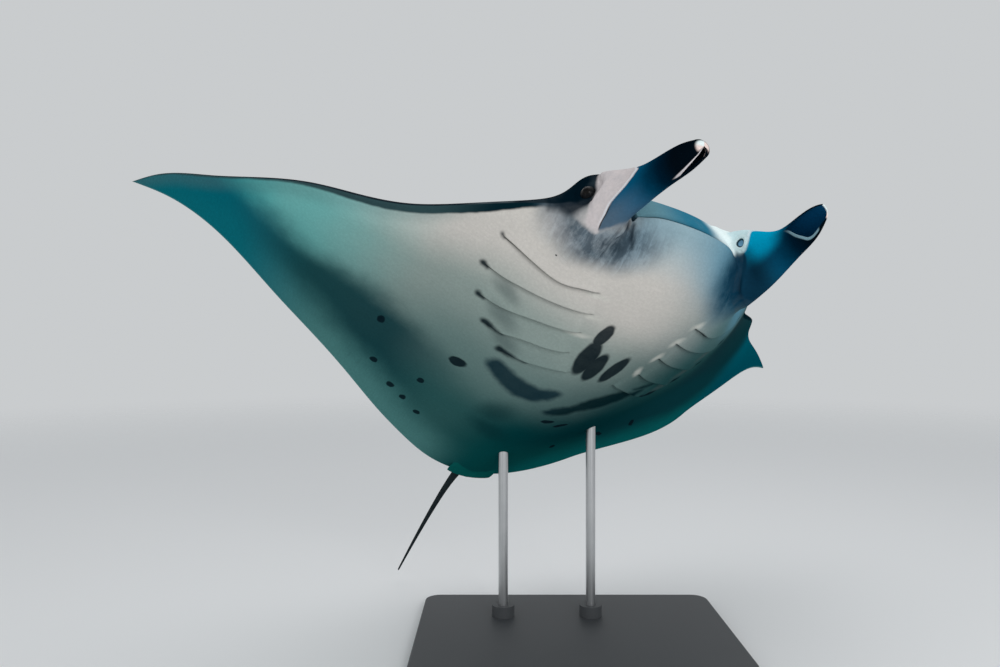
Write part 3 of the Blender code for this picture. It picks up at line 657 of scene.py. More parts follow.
def mantaSkin():
    body = bodyDisc()
    horns = {sign: cephalicFin(sign) for sign in (1, -1)}
    discTree = treeOf(body.data)
    hornTrees = {sign: treeOf(thing.data, collar["hornFrom"]) for sign, thing in horns.items()}
    for sign, thing in horns.items():
        swell(body.data, hornTrees[sign], lambda p: (abs(p[:, 0] * sign - 0.31) < 0.19) & (p[:, 1] > -0.36))
        swell(thing.data, discTree, lambda p: p[:, 1] < 0.13)
        absorb(body, thing)
        absorb(body, plainPiece("pelvic", bladeLoft(pelvicFin, sign), (1, 0, 0), (0, 0, -1), 0.09))
    absorb(body, plainPiece("dorsal", bladeLoft(dorsalFin, 1), (0, 0, 0), (0, 0, 0)))
    absorb(body, plainPiece("tail", tailLoft(), (0.3, 0, 0), (-1, 0, 0)))
    mesh = body.data
    flat, part, trim, reach = softenJoins(mesh)
    movePoints(mesh, flat)
    onHead = flat[:, 1] > -0.35
    rise = headRelief(flat[onHead], reach[onHead, 0], reach[onHead, 2])
    flat[onHead] += normalsOf(mesh)[onHead] * rise[:, None]
    flat[onHead] = lidded(flat[onHead])
    movePoints(mesh, posed(flat))
    for name, values in (("part", part), ("trim", trim), ("reach", reach), ("flat", flat)):
        writeLayer(mesh, name, values)
    smoothShaded(mesh)
    mesh.materials.clear()
    mesh.polygons.foreach_set("material_index", np.zeros(len(mesh.polygons), np.int32))
    body.name = mesh.name = "mantaSkin"
    return body


# shader expressions and materials
def rgb(red, green, blue):
    # screen values 0 to 255 to linear light
    values = [value / 255 for value in (red, green, blue)]
    return tuple(v / 12.92 if v <= 0.04 else ((v + 0.055) / 1.055) ** 2.4 for v in values) + (1,)


class Value:
    # a node socket that takes part in sums
    def __init__(self, finish, socket):
        self.finish, self.socket = finish, socket

    def sum(self, operation, *terms):
        return self.finish.node("ShaderNodeMath", {"operation": operation}, dict(enumerate(terms)))

    def __add__(self, other): return self.sum("ADD", self, other)
    def __sub__(self, other): return self.sum("SUBTRACT", self, other)
    def __mul__(self, other): return self.sum("MULTIPLY", self, other)
    def __rsub__(self, other): return self.sum("SUBTRACT", other, self)
    def __abs__(self): return self.sum("ABSOLUTE", self)
    __radd__, __rmul__ = __add__, __mul__

    def most(self, other): return self.sum("MAXIMUM", self, other)
    def least(self, other): return self.sum("MINIMUM", self, other)
    def root(self): return self.sum("SQRT", self)

    def step(self, start, end):
        # 0 at start, 1 at end, smooth between
        return self.finish.node("ShaderNodeMapRange", {"interpolation_type": "SMOOTHSTEP"},
                                {"Value": self, "From Min": start, "From Max": end})


class Finish:
    # one material and its nodes
    def __init__(self, name, tones):
        self.tones = tones
        self.material = bpy.data.materials.new(name)
        self.material.use_nodes = True
        self.tree = self.material.node_tree
        self.surface = self.tree.nodes["Principled BSDF"]

    def node(self, kind, settings=None, sockets=None, output=0):
        made = self.tree.nodes.new(kind)
        for name, value in (settings or {}).items():
            setattr(made, name, value)
        for name, value in (sockets or {}).items():
            self.feed(made.inputs[name], value)
        return Value(self, made.outputs[output])

    def feed(self, socket, value):
        # a link, a colour by its name among the tones, or a plain value
        if isinstance(value, Value):
            self.tree.links.new(value.socket, socket)
        else:
            socket.default_value = rgb(*self.tones[value]) if isinstance(value, str) else value

    def layer(self, name):
        return self.node("ShaderNodeAttribute", {"attribute_name": name}, output="Vector")

    def split(self, vector):
        parts = self.node("ShaderNodeSeparateXYZ", {}, {0: vector})
        return [Value(self, parts.socket.node.outputs[i]) for i in range(3)]

    def join(self, x, y, z):
        return self.node("ShaderNodeCombineXYZ", {}, {0: x, 1: y, 2: z})

    def vector(self, operation, *terms):
        return self.node("ShaderNodeVectorMath", {"operation": operation}, dict(enumerate(terms)))

    def noise(self, where, scale, detail=3, rough=0.5, output="Fac", distortion=0.0):
        sockets = {"Vector": where, "Scale": scale, "Detail": detail, "Roughness": rough,
                   "Distortion": distortion}
        return self.node("ShaderNodeTexNoise", {}, sockets, output)

    def mix(self, amount, under, over):
        # of two colours
        return self.node("ShaderNodeMix", {"data_type": "RGBA"}, {0: amount, 6: under, 7: over}, 2)

    def blend(self, amount, under, over):
        # of two numbers
        return self.node("ShaderNodeMix", {"data_type": "FLOAT"}, {0: amount, 2: under, 3: over})

    def distance(self, place, at):
        return self.node("ShaderNodeVectorMath", {"operation": "DISTANCE"}, {0: place, 1: at}, "Value")

    def bumps(self, height, distance, strength=1.0, over=None):
        sockets = {"Height": height, "Distance": distance, "Strength": strength}
        if over is not None:
            sockets["Normal"] = over
        return self.node("ShaderNodeBump", {}, sockets)

    def set(self, **values):
        for name, value in values.items():
            self.feed(self.surface.inputs[name.replace("_", " ")], value)


# the animal's markings, with painted highlights and painted shade among them
def spot(x, y, at, size, turn=0.0, soft=0.25):
    # an oval mark: place, half sizes and turn in degrees
    c, s = math.cos(math.radians(turn)), math.sin(math.radians(turn))
    u = ((x - at[0]) * (c / size[0])) + ((y - at[1]) * (s / size[0]))
    v = ((y - at[1]) * (c / size[1])) - ((x - at[0]) * (s / size[1]))
    return (u * u + v * v).root().step(1 + soft, 1 - soft)


def run(x, y, knots, soft=0.008):
    # a mark along a line of places, each with its half width
    return most([streak(x, y, a[:2], b[:2], (a[2], b[2]), soft) for a, b in zip(knots, knots[1:])])


def streak(x, y, start, end, wide, soft=0.008):
    # a rounded bar from start to end, its half width given at both ends
    dx, dy = end[0] - start[0], end[1] - start[1]
    size = dx * dx + dy * dy
    u, v = x - start[0], y - start[1]
    t = (u * (dx / size) + v * (dy / size)).most(0).least(1)
    p, q = u - t * dx, v - t * dy
    return ((p * p + q * q).root() - t * (wide[1] - wide[0]) - wide[0]).step(soft, -soft)


def bumpBand(value, middle, half):
    # 1 in the middle of a narrow band, 0 outside it
    return abs(value - middle).step(half, half * 0.3)


def most(marks):
    total = marks[0]
    for mark in marks[1:]:
        total = total.most(mark)
    return total


marks = {
    # small ovals on the belly: place, half sizes and turn
    "spots": (((-0.002, -0.915), (0.026, 0.012), 160), ((-0.065, -0.925), (0.026, 0.010), 140),
              ((-0.208, -1.170), (0.030, 0.011), 47), ((-0.431, -1.114), (0.040, 0.012), 35),
              ((-0.584, -1.048), (0.034, 0.011), 50), ((0.678, -0.882), (0.014, 0.017), 0),
              ((0.622, -1.083), (0.015, 0.014), 0), ((0.516, -1.155), (0.016, 0.015), 0),
              ((0.438, -1.056), (0.014, 0.015), 0), ((0.447, -1.186), (0.013, 0.013), 0),
              ((0.368, -1.234), (0.014, 0.012), 0), ((0.382, -0.857), (0.032, 0.023), -20),
              ((0.358, -0.262), (0.003, 0.003), 0)),
    # three dark clubs in the middle, the first of two ovals
    "clubs": (((0.101, -0.416), (0.054, 0.021), 91), ((0.091, -0.528), (0.090, 0.030), 84),
              ((0.043, -0.556), (0.076, 0.026), 87), ((-0.021, -0.541), (0.076, 0.023), 97)),
    # the larger blotches behind them, softer, as runs of place and half width
    "blotches": (((0.284, -0.758, 0.034), (0.250, -0.774, 0.040), (0.214, -0.788, 0.044),
                  (0.172, -0.796, 0.046), (0.130, -0.791, 0.042), (0.096, -0.768, 0.032),
                  (0.074, -0.744, 0.020)),
                 ((0.034, -0.860, 0.016), (0.016, -0.846, 0.025), (-0.012, -0.826, 0.028),
                  (-0.034, -0.800, 0.022)),
                 ((-0.024, -0.808, 0.018), (-0.060, -0.768, 0.034), (-0.092, -0.732, 0.042),
                  (-0.128, -0.694, 0.038), (-0.166, -0.658, 0.026), (-0.200, -0.628, 0.010)),
                 ((-0.162, -0.617, 0.004), (-0.195, -0.610, 0.010), (-0.236, -0.590, 0.006))),
    "clouds": (((0.166, -0.980), (0.070, 0.046), 109), ((0.130, -1.100), (0.070, 0.045), 20)),
    # dark ends of the slits, and the smudges between them
    "slitEnds": (((0.512, -0.434, 0.012), (0.494, -0.440, 0.006)),
                 ((0.470, -0.539, 0.011), (0.448, -0.544, 0.005)),
                 ((0.404, -0.618, 0.013), (0.384, -0.620, 0.014), (0.340, -0.620, 0.005)),
                 ((0.314, -0.682, 0.015), (0.288, -0.679, 0.014), (0.230, -0.668, 0.005)),
                 ((0.510, -0.318, 0.006), (0.500, -0.323, 0.003))),
    "smudges": (((0.408, -0.465), (0.046, 0.024), 15), ((0.372, -0.556), (0.052, 0.030), 15),
                ((0.318, -0.640), (0.046, 0.026), 10)),
    # painted highlights on the inner ends of the flaps
    "flapHighlights": (((-0.163, -0.272), (0.022, 0.009), -45), ((-0.139, -0.352), (0.024, 0.010), -60),
                 ((-0.120, -0.436), (0.024, 0.009), -70), ((-0.106, -0.522), (0.022, 0.010), -98),
                 ((0.200, -0.294), (0.034, 0.009), -14), ((0.176, -0.370), (0.034, 0.009), -14),
                 ((0.168, -0.452), (0.034, 0.009), -16)),
    # painted shade of the folds at the corner of the mouth
    "foldShade": (((0.241, -0.054, 0.007), (0.230, -0.066, 0.009), (0.220, -0.080, 0.005)),
              ((0.208, -0.066, 0.004), (0.203, -0.082, 0.009), (0.196, -0.098, 0.008),
               (0.189, -0.114, 0.003))),
    # washes: place, half sizes, turn and softness
    "wash": ((0.262, -0.138), (0.165, 0.072), -24, 0.55),
    "washCore": ((0.240, -0.135), (0.060, 0.034), -35, 0.7),
    "leftWash": ((-0.245, -0.115), (0.115, 0.105), 20, 0.55),
    "leftStrip": ((-0.240, -0.085), (0.075, 0.060), 60, 0.5),
    "paleCheek": ((0.350, -0.155), (0.075, 0.045), -30, 0.7),
    "shoulderBar": ((0.34, -0.42), (0.26, 0.085), 28, 0.5),
    # patch round the eye and the shade under it: from, to, half widths and softness
    "eyePatch": ((0.430, -0.176), (0.350, -0.112), (0.006, 0.036), 0.014),
    "eyeShade": ((0.440, -0.186), (0.352, -0.118), (0.020, 0.052), 0.030),
}
skinTones = {
    # screen values; marks and washes go by the names that they have above
    "bellyAhead": (200, 196, 190), "bellyFront": (143, 157, 152), "bellyMiddle": (104, 129, 126),
    "bellyRear": (52, 97, 96), "rearMiddle": (0, 72, 74), "leftAhead": (78, 112, 114),
    "leftMiddle": (26, 70, 72), "leftBehind": (0, 52, 57), "leftOut": (0, 46, 54),
    "leftRear": (8, 82, 82), "leftTip": (0, 70, 84), "band": (12, 58, 64), "bandTip": (0, 92, 108),
    "marginLeft": (8, 100, 100), "marginRight": (80, 132, 130), "marginLeftTip": (0, 76, 90),
    "marginRightTip": (12, 108, 120), "rearEdge": (96, 150, 150), "frontRim": (6, 32, 40),
    "frontHaze": (80, 110, 112), "chin": (122, 164, 180), "chinLeft": (88, 140, 162),
    "washPale": (96, 122, 138), "washDark": (54, 78, 94), "washCore": (30, 44, 54),
    "foldShade": (10, 22, 34), "paleCheek": (206, 201, 202), "leftWash": (14, 60, 82),
    "leftStrip": (14, 52, 74), "smudges": (74, 90, 90), "clouds": (8, 50, 54),
    "flapHighlights": (206, 206, 198), "blotches": (18, 46, 56), "blotchesInShade": (0, 30, 36),
    "spots": (10, 26, 34), "slits": (24, 28, 30), "eyeShade": (60, 84, 96), "eyePatch": (2, 22, 34),
    "back": (20, 30, 37), "backPale": (36, 48, 55), "shoulderBar": (140, 152, 156),
    "backEdge": (80, 96, 100), "backEyePatch": (2, 20, 30), "jawMiddle": (44, 116, 142),
    "jawRight": (104, 146, 158), "jawBehind": (70, 122, 142), "jawCloud": (92, 128, 146),
    "jawLeft": (236, 250, 250), "hornRoot": (6, 84, 118), "hornMiddle": (0, 28, 46),
    "hornEnd": (3, 12, 20), "hornLeftLow": (20, 52, 66), "hornRightLow": (84, 102, 118),
    "hornBlueHighlight": (0, 160, 200), "rimLeft": (112, 142, 152), "rimRight": (214, 208, 210),
    "hollowLeft": (6, 62, 98), "hollowRight": (8, 22, 34), "hollowRightDeep": (30, 66, 88),
    "tipTop": (226, 238, 238), "tipUnder": (232, 212, 206), "cheek": (208, 200, 200),
    "cheekCloud": (170, 170, 176), "cheekLeft": (208, 232, 236), "creaseEdge": (214, 220, 226),
    "creaseShade": (18, 24, 30), "mouthMiddle": (18, 26, 32), "mouthCorner": (52, 76, 90),
    "nostrilRing": (206, 226, 228), "nostrilEdge": (30, 56, 68), "nostrilInside": (112, 158, 188),
    "tail": (22, 30, 34), "tailPale": (46, 54, 56), "pelvic": (0, 84, 82), "pelvicPale": (16, 104, 98),
}


def skinPlaces(finish):
    # the layers of the skin, the noise that wavers the borders, and a few sides and lines that are used again
    at = SimpleNamespace(flat=finish.layer("flat"))
    at.x, at.y, at.z = finish.split(at.flat)
    at.belly, at.onHorn, at.hollow = finish.split(finish.layer("part"))
    at.place, at.slit, at.rim = finish.split(finish.layer("trim"))
    at.fromFront, at.fromRear, at.crease = finish.split(finish.layer("reach"))
    at.angle = at.fromFront  # on a horn this layer holds the angle round it
    waver = finish.vector("SUBTRACT", finish.noise(at.flat, 22, 2, output="Color"), (0.5, 0.5, 0.5))
    broad = finish.vector("SUBTRACT", finish.noise(at.flat, 5, 3, output="Color"), (0.5, 0.5, 0.5))
    at.wx, at.wy, _ = finish.split(waver)
    at.bx, at.by, _ = finish.split(broad)
    at.mx, at.my = at.x + at.wx * 0.018, at.y + at.wy * 0.018  # for the borders of the marks
    at.cx, at.cy = at.x + at.wx * 0.007, at.y + at.wy * 0.007  # for the crisper ones
    at.ax, at.side = abs(at.x), at.x.step(-0.05, 0.05)  # side is 1 on the right, 0 on the left
    at.cloud = finish.noise(at.flat, 16, 5, 0.65)
    at.strands = finish.noise(finish.vector("MULTIPLY", at.flat, (60, 14, 14)), 1, 5, 0.6, distortion=0.6)
    below = (at.y + at.ax * 1.63 - 0.388).least(at.y + at.ax * 0.44 - 0.020) + at.wy * 0.03
    at.below = below.step(0.016, -0.012)  # 1 under the line from the eye to the corner of the mouth
    at.patch = streak(at.ax + at.wx * 0.02, at.y + at.wy * 0.02, *marks["eyePatch"])
    at.patch = at.patch * (at.z + at.wx * 0.025).step(-0.078, -0.040)
    at.rear = at.fromRear + (at.by * 0.10 + at.wy * 0.02)
    return at


def bellyGround(finish, at):
    # pale ahead, deeper and greener toward the rear, the tips and the left side: partly the animal's own
    # tone, partly painted shade and a painted teal cast of light
    x, y, ax, side, rear = at.x, at.y, at.ax, at.side, at.rear
    # painted shade: darker toward the rear, partly the belly's own tone
    far = y + ax.step(0.40, 0.75) * 0.08 + at.by * 0.05
    ground = finish.mix(far.step(-0.30, -0.52), "bellyAhead", "bellyFront")
    ground = finish.mix(far.step(-0.50, -0.80), ground, "bellyMiddle")
    ground = finish.mix(far.step(-0.76, -1.10), ground, "bellyRear")
    span = ax + at.bx * 0.10
    # painted light: a teal cast that grows toward the wing tips; the tip tones of the band and margins carry
    # it too
    tealLightCast = finish.mix(span.step(0.62, 1.10), (1, 1, 1, 1), (0.58, 1.34, 1.38, 1))
    tealLightCast = finish.mix(span.step(1.10, 1.42), tealLightCast, (0, 1.2, 1.35, 1))
    ground = finish.vector("MULTIPLY", ground, tealLightCast)
    # darker in the middle toward the rear: partly the animal's own tone, partly painted shade
    ground = finish.mix((y + at.by * 0.08).step(-0.78, -1.08) * x.step(0.28, 0.02), ground, "rearMiddle")
    # painted shade: the left side, which lay away from the light, in darker tones
    left = finish.mix(y.step(-0.25, -0.55), "leftAhead", "leftMiddle")
    left = finish.mix(y.step(-0.55, -0.90), left, "leftBehind")
    left = finish.mix(ax.step(0.45, 0.75), left, "leftOut")
    left = finish.mix(y.step(-1.00, -1.30), left, "leftRear")
    left = finish.mix(ax.step(1.00, 1.35), left, "leftTip")
    ground = finish.mix((x + y * 0.25 + 0.0875 + at.bx * 0.06).step(0.10, -0.34) * 0.97, ground, left)
    # dark band along the rear edge, paler again at the margin
    inner = ax.step(0.45, 1.35) * -0.22 + 0.475
    band = (rear - inner).step(0.07, -0.07) * (0.92 - ax.step(0.65, 0.30) * 0.72)
    ground = finish.mix(band, ground, finish.mix(ax.step(0.95, 1.35), "band", "bandTip"))
    # the left margin in darker tones than the right: painted shade
    marginTone = finish.mix(ax.step(0.80, 1.25), finish.mix(side, "marginLeft", "marginRight"),
                            finish.mix(side, "marginLeftTip", "marginRightTip"))
    ground = finish.mix(rear.step(0.24, 0.03) * ax.step(0.05, 0.30) * 0.85, ground, marginTone)
    ground = finish.mix(at.fromRear.step(0.010, 0.003) * 0.5, ground, "rearEdge")
    # front rim of the wing, where the dark of the back comes round
    rimWide = ax.step(0.42, 0.62) * ax.step(1.25, 0.70) * 0.020 + 0.003
    ground = finish.mix((at.fromFront - rimWide + at.wy * 0.006).step(0.006, -0.004), ground, "frontRim")
    haze = (at.fromFront + at.by * 0.03).step(0.085, 0.02) * ax.step(0.55, 0.75) * side * 0.35
    return finish.mix(haze, ground, "frontHaze")


def greyWashes(finish, at, ground):
    # blue-grey on the chin and round the roots of the horns
    x, y, ax, cloud, strands = at.x, at.y, at.ax, at.cloud, at.strands
    chin = (at.fromFront + at.by * 0.05).step(0.18, 0.02) * ax.step(0.28, 0.16)
    ground = finish.mix(chin * 0.75, ground, "chin")
    # the chin's left side in darker tones: partly the wash, partly painted shade
    chinLeft = (at.fromFront + at.by * 0.05).step(0.26, 0.06) * x.step(0.08, -0.20) * ax.step(0.62, 0.42)
    ground = finish.mix(chinLeft * 0.85, ground, "chinLeft")
    wash = spot(x + at.bx * 0.06, y + at.by * 0.06, *marks["wash"])
    wash = (wash * (0.40 + cloud * 0.6 + strands * 0.5)).least(1) * at.below
    washTone = finish.mix((strands * 0.6 + cloud * 0.4).step(0.40, 0.58), "washPale", "washDark")
    ground = finish.mix(wash * 0.88, ground, washTone)
    core = spot(at.mx + at.bx * 0.05, at.my + at.by * 0.05, *marks["washCore"])
    core = core * (strands * 1.3 + cloud * 1.3 - 0.60).most(0).least(1)
    ground = finish.mix(core * 0.8, ground, "washCore")
    # painted shade: dark lines where folds lie at the corner of the mouth
    foldShade = most([run(at.cx, at.cy, one, 0.009) for one in marks["foldShade"]])
    ground = finish.mix(foldShade * (0.55 + strands * 0.5), ground, "foldShade")
    paleCheek = spot(ax, y, *marks["paleCheek"]) * (1 - wash) * at.side
    ground = finish.mix(paleCheek * 0.8, ground, "paleCheek")
    # the wash round the left horn's root, darker than the right's: partly the wash, partly painted shade
    leftWash = spot(x + at.bx * 0.07, y + at.by * 0.07, *marks["leftWash"])
    return finish.mix(leftWash * (0.25 + cloud * 0.7 + strands * 0.6).least(1), ground, "leftWash")


def bellyMarks(finish, at, ground):
    # the animal's own dark marks, over the washes, with painted shade in the gill slits, under the eye patch
    # and on the left blotches, and painted highlights on the flaps
    x, y, mx, my, cx, cy, cloud = at.x, at.y, at.mx, at.my, at.cx, at.cy, at.cloud
    dark = most([spot(mx, my, *one, soft=0.16) for one in marks["spots"]]
                + [spot(cx, cy, *one, soft=0.15) for one in marks["clubs"]])
    ends = most([run(abs(mx), my, one, 0.009) for one in marks["slitEnds"]])
    blotches = most([run(mx, my, one, 0.016) for one in marks["blotches"]])
    smudges = most([spot(abs(mx), my, *one, soft=0.75) for one in marks["smudges"]])
    clouds = most([spot(mx, my, *one, soft=0.8) for one in marks["clouds"]])
    flapHighlights = most([spot(mx, my, *one, soft=0.8) for one in marks["flapHighlights"]])
    # the blotches on the left in a darker tone: painted shade
    blotchTone = finish.mix((x + y * 0.45).step(-0.30, -0.40), "blotches", "blotchesInShade")
    ground = finish.mix(smudges * 0.50, ground, "smudges")
    ground = finish.mix(clouds * 0.55, ground, "clouds")
    # painted highlights on the inner ends of the flaps
    ground = finish.mix(flapHighlights * 0.60, ground, "flapHighlights")
    ground = finish.mix(blotches * (0.84 + cloud * 0.16), ground, blotchTone)
    ground = finish.mix(dark.most(ends) * (0.88 + cloud * 0.12), ground, "spots")
    # painted shade in the gill slits
    ground = finish.mix(at.slit * 0.92, ground, "slits")
    # painted shadow under the eye patch
    shade = streak(at.ax + at.bx * 0.03, y + at.by * 0.03, *marks["eyeShade"])
    shade = shade * (at.z + at.bx * 0.03).step(-0.125, -0.050)
    ground = finish.mix(shade * 0.50, ground, "eyeShade")
    return finish.mix(at.patch * (0.84 + cloud * 0.16), ground, "eyePatch")


def backSkin(finish, at):
    # dark, with two pale shoulder bars, and the rim of the mouth ahead
    x, y, ax, cloud = at.x, at.y, at.ax, at.cloud
    back = finish.mix(finish.noise(at.flat, 9, 4, 0.6).step(0.35, 0.7), "back", "backPale")
    bar = spot(ax + at.bx * 0.10, y + at.by * 0.12, *marks["shoulderBar"])
    back = finish.mix(bar * (0.45 + cloud * 0.5), back, "shoulderBar")
    jaw = finish.mix(x.step(0.02, 0.17), "jawMiddle", "jawRight")
    jaw = finish.mix(at.fromFront.step(0.030, 0.070) * 0.6, jaw, "jawBehind")
    jaw = finish.mix(cloud.step(0.45, 0.75) * 0.25, jaw, "jawCloud")
    jaw = finish.mix((x + at.bx * 0.05).step(-0.04, -0.13), jaw, "jawLeft")
    ahead = (at.fromFront + at.by * 0.02).step(0.18, 0.12).most(y.step(-0.17, -0.11) * ax.step(0.20, 0.23))
    ahead = ahead * finish.blend(at.side, ax.step(0.36, 0.32), ax.step(0.31, 0.27))
    back = finish.mix(ahead, back, jaw)
    back = finish.mix(at.fromRear.step(0.12, 0.01) * 0.35 * ax.step(0.2, 0.5), back, "backEdge")
    return finish.mix(at.patch * 0.95, back, "backEyePatch")


def hornSkin(finish, at, skin):
    # dark past the crease, the pale cheek before it
    angle, place, side, z, crease = at.angle, at.place, at.side, at.z, at.crease
    # the blue toward the root is a painted reflection
    horn = finish.mix((place + at.wx * 0.05).step(0.44, 0.72), "hornRoot", "hornMiddle")
    horn = finish.mix(place.step(0.66, 0.84), horn, "hornEnd")
    # the low side of the root: the left's darker tone than the right's is painted shade
    low = angle.step(1.7, 2.6) * place.step(0.62, 0.30) * angle.step(5.2, 4.2)
    horn = finish.mix(low * (0.70 + at.cloud * 0.35), horn, finish.mix(side, "hornLeftLow", "hornRightLow"))
    under = at.below * z.step(-0.060, -0.095)  # where the horn's root runs into the belly
    horn = finish.mix(side * place.step(0.40, 0.31) * under, horn, skin)
    # painted highlight: bright blue on the top of the left horn's root
    horn = finish.mix(side.step(1, 0) * place.step(0.66, 0.44) * angle.step(4.3, 5.0), horn, "hornBlueHighlight")
    # pale rim of the slot, and the hollow behind it; the left rim's darker tone is painted shade, and the
    # blue of the hollows is a painted sheen
    nearRim = finish.blend(side, angle.step(2.6, 3.0) * angle.step(5.3, 4.6),
                           angle.step(2.7, 3.0) * angle.step(3.54, 3.38))
    nearRim = nearRim * side.most(place.step(0.94, 0.91))
    rimBand = finish.blend(side, at.rim.step(0.60, 0.80), at.rim.step(0.42, 0.62))
    horn = finish.mix(rimBand * nearRim, horn, finish.mix(side, "rimLeft", "rimRight"))
    hollowRight = finish.mix(place.step(0.95, 0.6), "hollowRight", "hollowRightDeep")
    horn = finish.mix(at.hollow, horn, finish.mix(side, "hollowLeft", hollowRight))
    # pale tip
    tip = place.step(1.027, 1.044) * (1 - at.hollow) * angle.step(2.9, 2.5).most(angle.step(4.2, 4.6))
    tip = finish.blend(side, place.step(1.004, 1.018), tip.most(at.hollow * place.step(0.990, 1.010)))
    horn = finish.mix(tip, horn, finish.mix(angle.step(1.2, 2.2), "tipTop", "tipUnder"))
    # cheek and crease, with painted shade along the bottom of the crease
    cheek = finish.mix(finish.noise(at.flat, 26, 4, 0.6).step(0.4, 0.8) * 0.35, "cheek", "cheekCloud")
    cheek = finish.mix(side, "cheekLeft", cheek)
    cheek = finish.mix(finish.blend(side, z.step(-0.020, -0.050), under), cheek, skin)
    horn = finish.mix((crease + at.wx * 0.012).step(-0.010, 0.010), cheek, horn)
    edge = finish.blend(side, angle.step(5.0, 5.3) * z.step(-0.03, 0.0), angle.step(2.75, 2.45))
    horn = finish.mix(bumpBand(crease, -0.012, 0.009) * 0.6 * edge, horn, "creaseEdge")
    # painted shade in the bottom of the crease
    line = bumpBand(crease, 0.000, 0.008) * angle.step(2.0, 2.3) * angle.step(2.9, 2.7) * 0.9
    return finish.mix(line, horn, "creaseShade")


def nostrilSkin(finish, at, skin):
    x, y, z = nostrils["at"]
    far = finish.distance(finish.join(at.ax, at.y, at.z * 0.8), (x, y, z * 0.8))
    skin = finish.mix(far.step(0.040, 0.022) * 0.85, skin, "nostrilRing")
    skin = finish.mix(far.step(0.0170, 0.0135), skin, "nostrilEdge")
    return finish.mix(far.step(0.0115, 0.0085), skin, "nostrilInside")


def skinRelief(finish, at):
    # long rays out along the wings, wrinkles, slanting lines near the rear edge, grain, and the roughness
    rays = finish.noise(finish.vector("MULTIPLY", at.flat, (1.5, 16, 6)), 4, 4, 0.55)
    grain = finish.noise(at.flat, 420, 3, 0.6)
    wrinkle = finish.noise(finish.vector("MULTIPLY", at.flat, (1, 3.2, 2)), 34, 5, 0.6, distortion=0.4)
    slanted = finish.node("ShaderNodeTexWave", {"wave_type": "BANDS", "bands_direction": "X"},
                          {"Vector": finish.vector("MULTIPLY", at.flat, (1, 0.55, 0)), "Scale": 26,
                           "Distortion": 3.0, "Detail": 2, "Detail Scale": 1.2}, output="Fac")
    normal = finish.bumps(rays, 0.004, 0.25)
    normal = finish.bumps(wrinkle, 0.0022, 0.35, normal)
    normal = finish.bumps(slanted * at.rear.step(0.30, 0.08) * at.ax.step(0.25, 0.6), 0.0012, 0.6, normal)
    normal = finish.bumps(grain, 0.0006, 0.55, normal)
    return normal, 0.50 + grain * 0.14 + wrinkle * 0.08 - at.onHorn.step(0.4, 0.7) * 0.16


def skinFinish():
    finish = Finish("mantaSkin", skinTones)
    at = skinPlaces(finish)
    ground = bellyMarks(finish, at, greyWashes(finish, at, bellyGround(finish, at)))
    underside = at.belly.step(0.35, 0.65) * (1 - at.onHorn.step(0.02, 0.20) * at.z.step(-0.010, 0.020))
    skin = finish.mix(underside, backSkin(finish, at), ground)
    skin = finish.mix((at.onHorn + at.wx * 0.2).step(0.30, 0.85), skin, hornSkin(finish, at, skin))
    # a dark strip low on the left of the head: partly the wash, partly painted shade
    strip = spot(at.x, at.y, *marks["leftStrip"]) * at.z.step(-0.030, -0.055)
    skin = finish.mix(strip * 0.8, skin, "leftStrip")
    # painted shade inside the mouth
    inMouth = at.hollow * (1 - at.onHorn.step(0.2, 0.5)) * 0.92
    skin = finish.mix(inMouth, skin, finish.mix(at.ax.step(0.17, 0.20), "mouthMiddle", "mouthCorner"))
    skin = nostrilSkin(finish, at, skin)
    # tail and pelvic fins
    tailTone = finish.mix(finish.noise(at.flat, 40, 3), "tail", "tailPale")
    skin = finish.mix(at.place.step(-0.3, -0.7), skin, tailTone)
    skin = finish.mix(at.rim.step(-0.3, -0.7) * 0.8, skin, finish.mix(at.cloud, "pelvic", "pelvicPale"))
    # fine mottling all over
    mottle = (finish.noise(at.flat, 120, 4, 0.7) - 0.5).step(-0.15, 0.22) * 0.10 + 0.95
    skin = finish.vector("MULTIPLY", skin, finish.join(mottle, mottle, mottle))
    normal, rough = skinRelief(finish, at)
    finish.set(Base_Color=skin, Roughness=rough, Normal=normal, Specular_IOR_Level=0.0)
    return finish.material


# eyes
eyeTones = {"iris": (8, 9, 11), "irisPale": (24, 21, 18), "white": (9, 12, 15), "pupil": (3, 3, 4)}


def eyeBall(name, sign):
    # rings round the gaze, with the clear front bulging a little
    look = np.array(eyes["look"]) * (sign, 1, 1)
    look = look / np.linalg.norm(look)
    acrossWay = np.cross(look, (0, 0, 1))
    acrossWay /= np.linalg.norm(acrossWay)
    upWay = np.cross(acrossWay, look)
    count = 96
    polar = np.linspace(0, math.pi, 66)[1:-1][:, None]
    turn = np.linspace(0, 2 * math.pi, count, endpoint=False)[None]
    back = 0.965  # radius behind the bulge, as a share of the front's
    radius = eyes["radius"] * (back + (1 - back) * smoothStep((0.62 - polar) / 0.25))
    rings = np.sin(polar) * np.cos(turn), np.sin(polar) * np.sin(turn), np.cos(polar)
    rings = np.stack(np.broadcast_arrays(*rings), -1)
    local = np.concatenate([rings.reshape(-1, 3), [(0, 0, 1), (0, 0, -1)]])
    size = np.broadcast_to(radius, (len(polar), count)).ravel()
    size = np.concatenate([size, [eyes["radius"], back * eyes["radius"]]])[:, None]
    centre = np.array([eyes["at"]]) * (sign, 1, 1)
    places = centre + size * (local @ np.array([acrossWay, upWay, look]))
    faces = loftFaces(len(polar), count, len(local) - 2, len(local) - 1)
    ball = outward(meshObject(name, posed(places), faces, {"gaze": local}))
    smoothShaded(ball.data)
    return ball


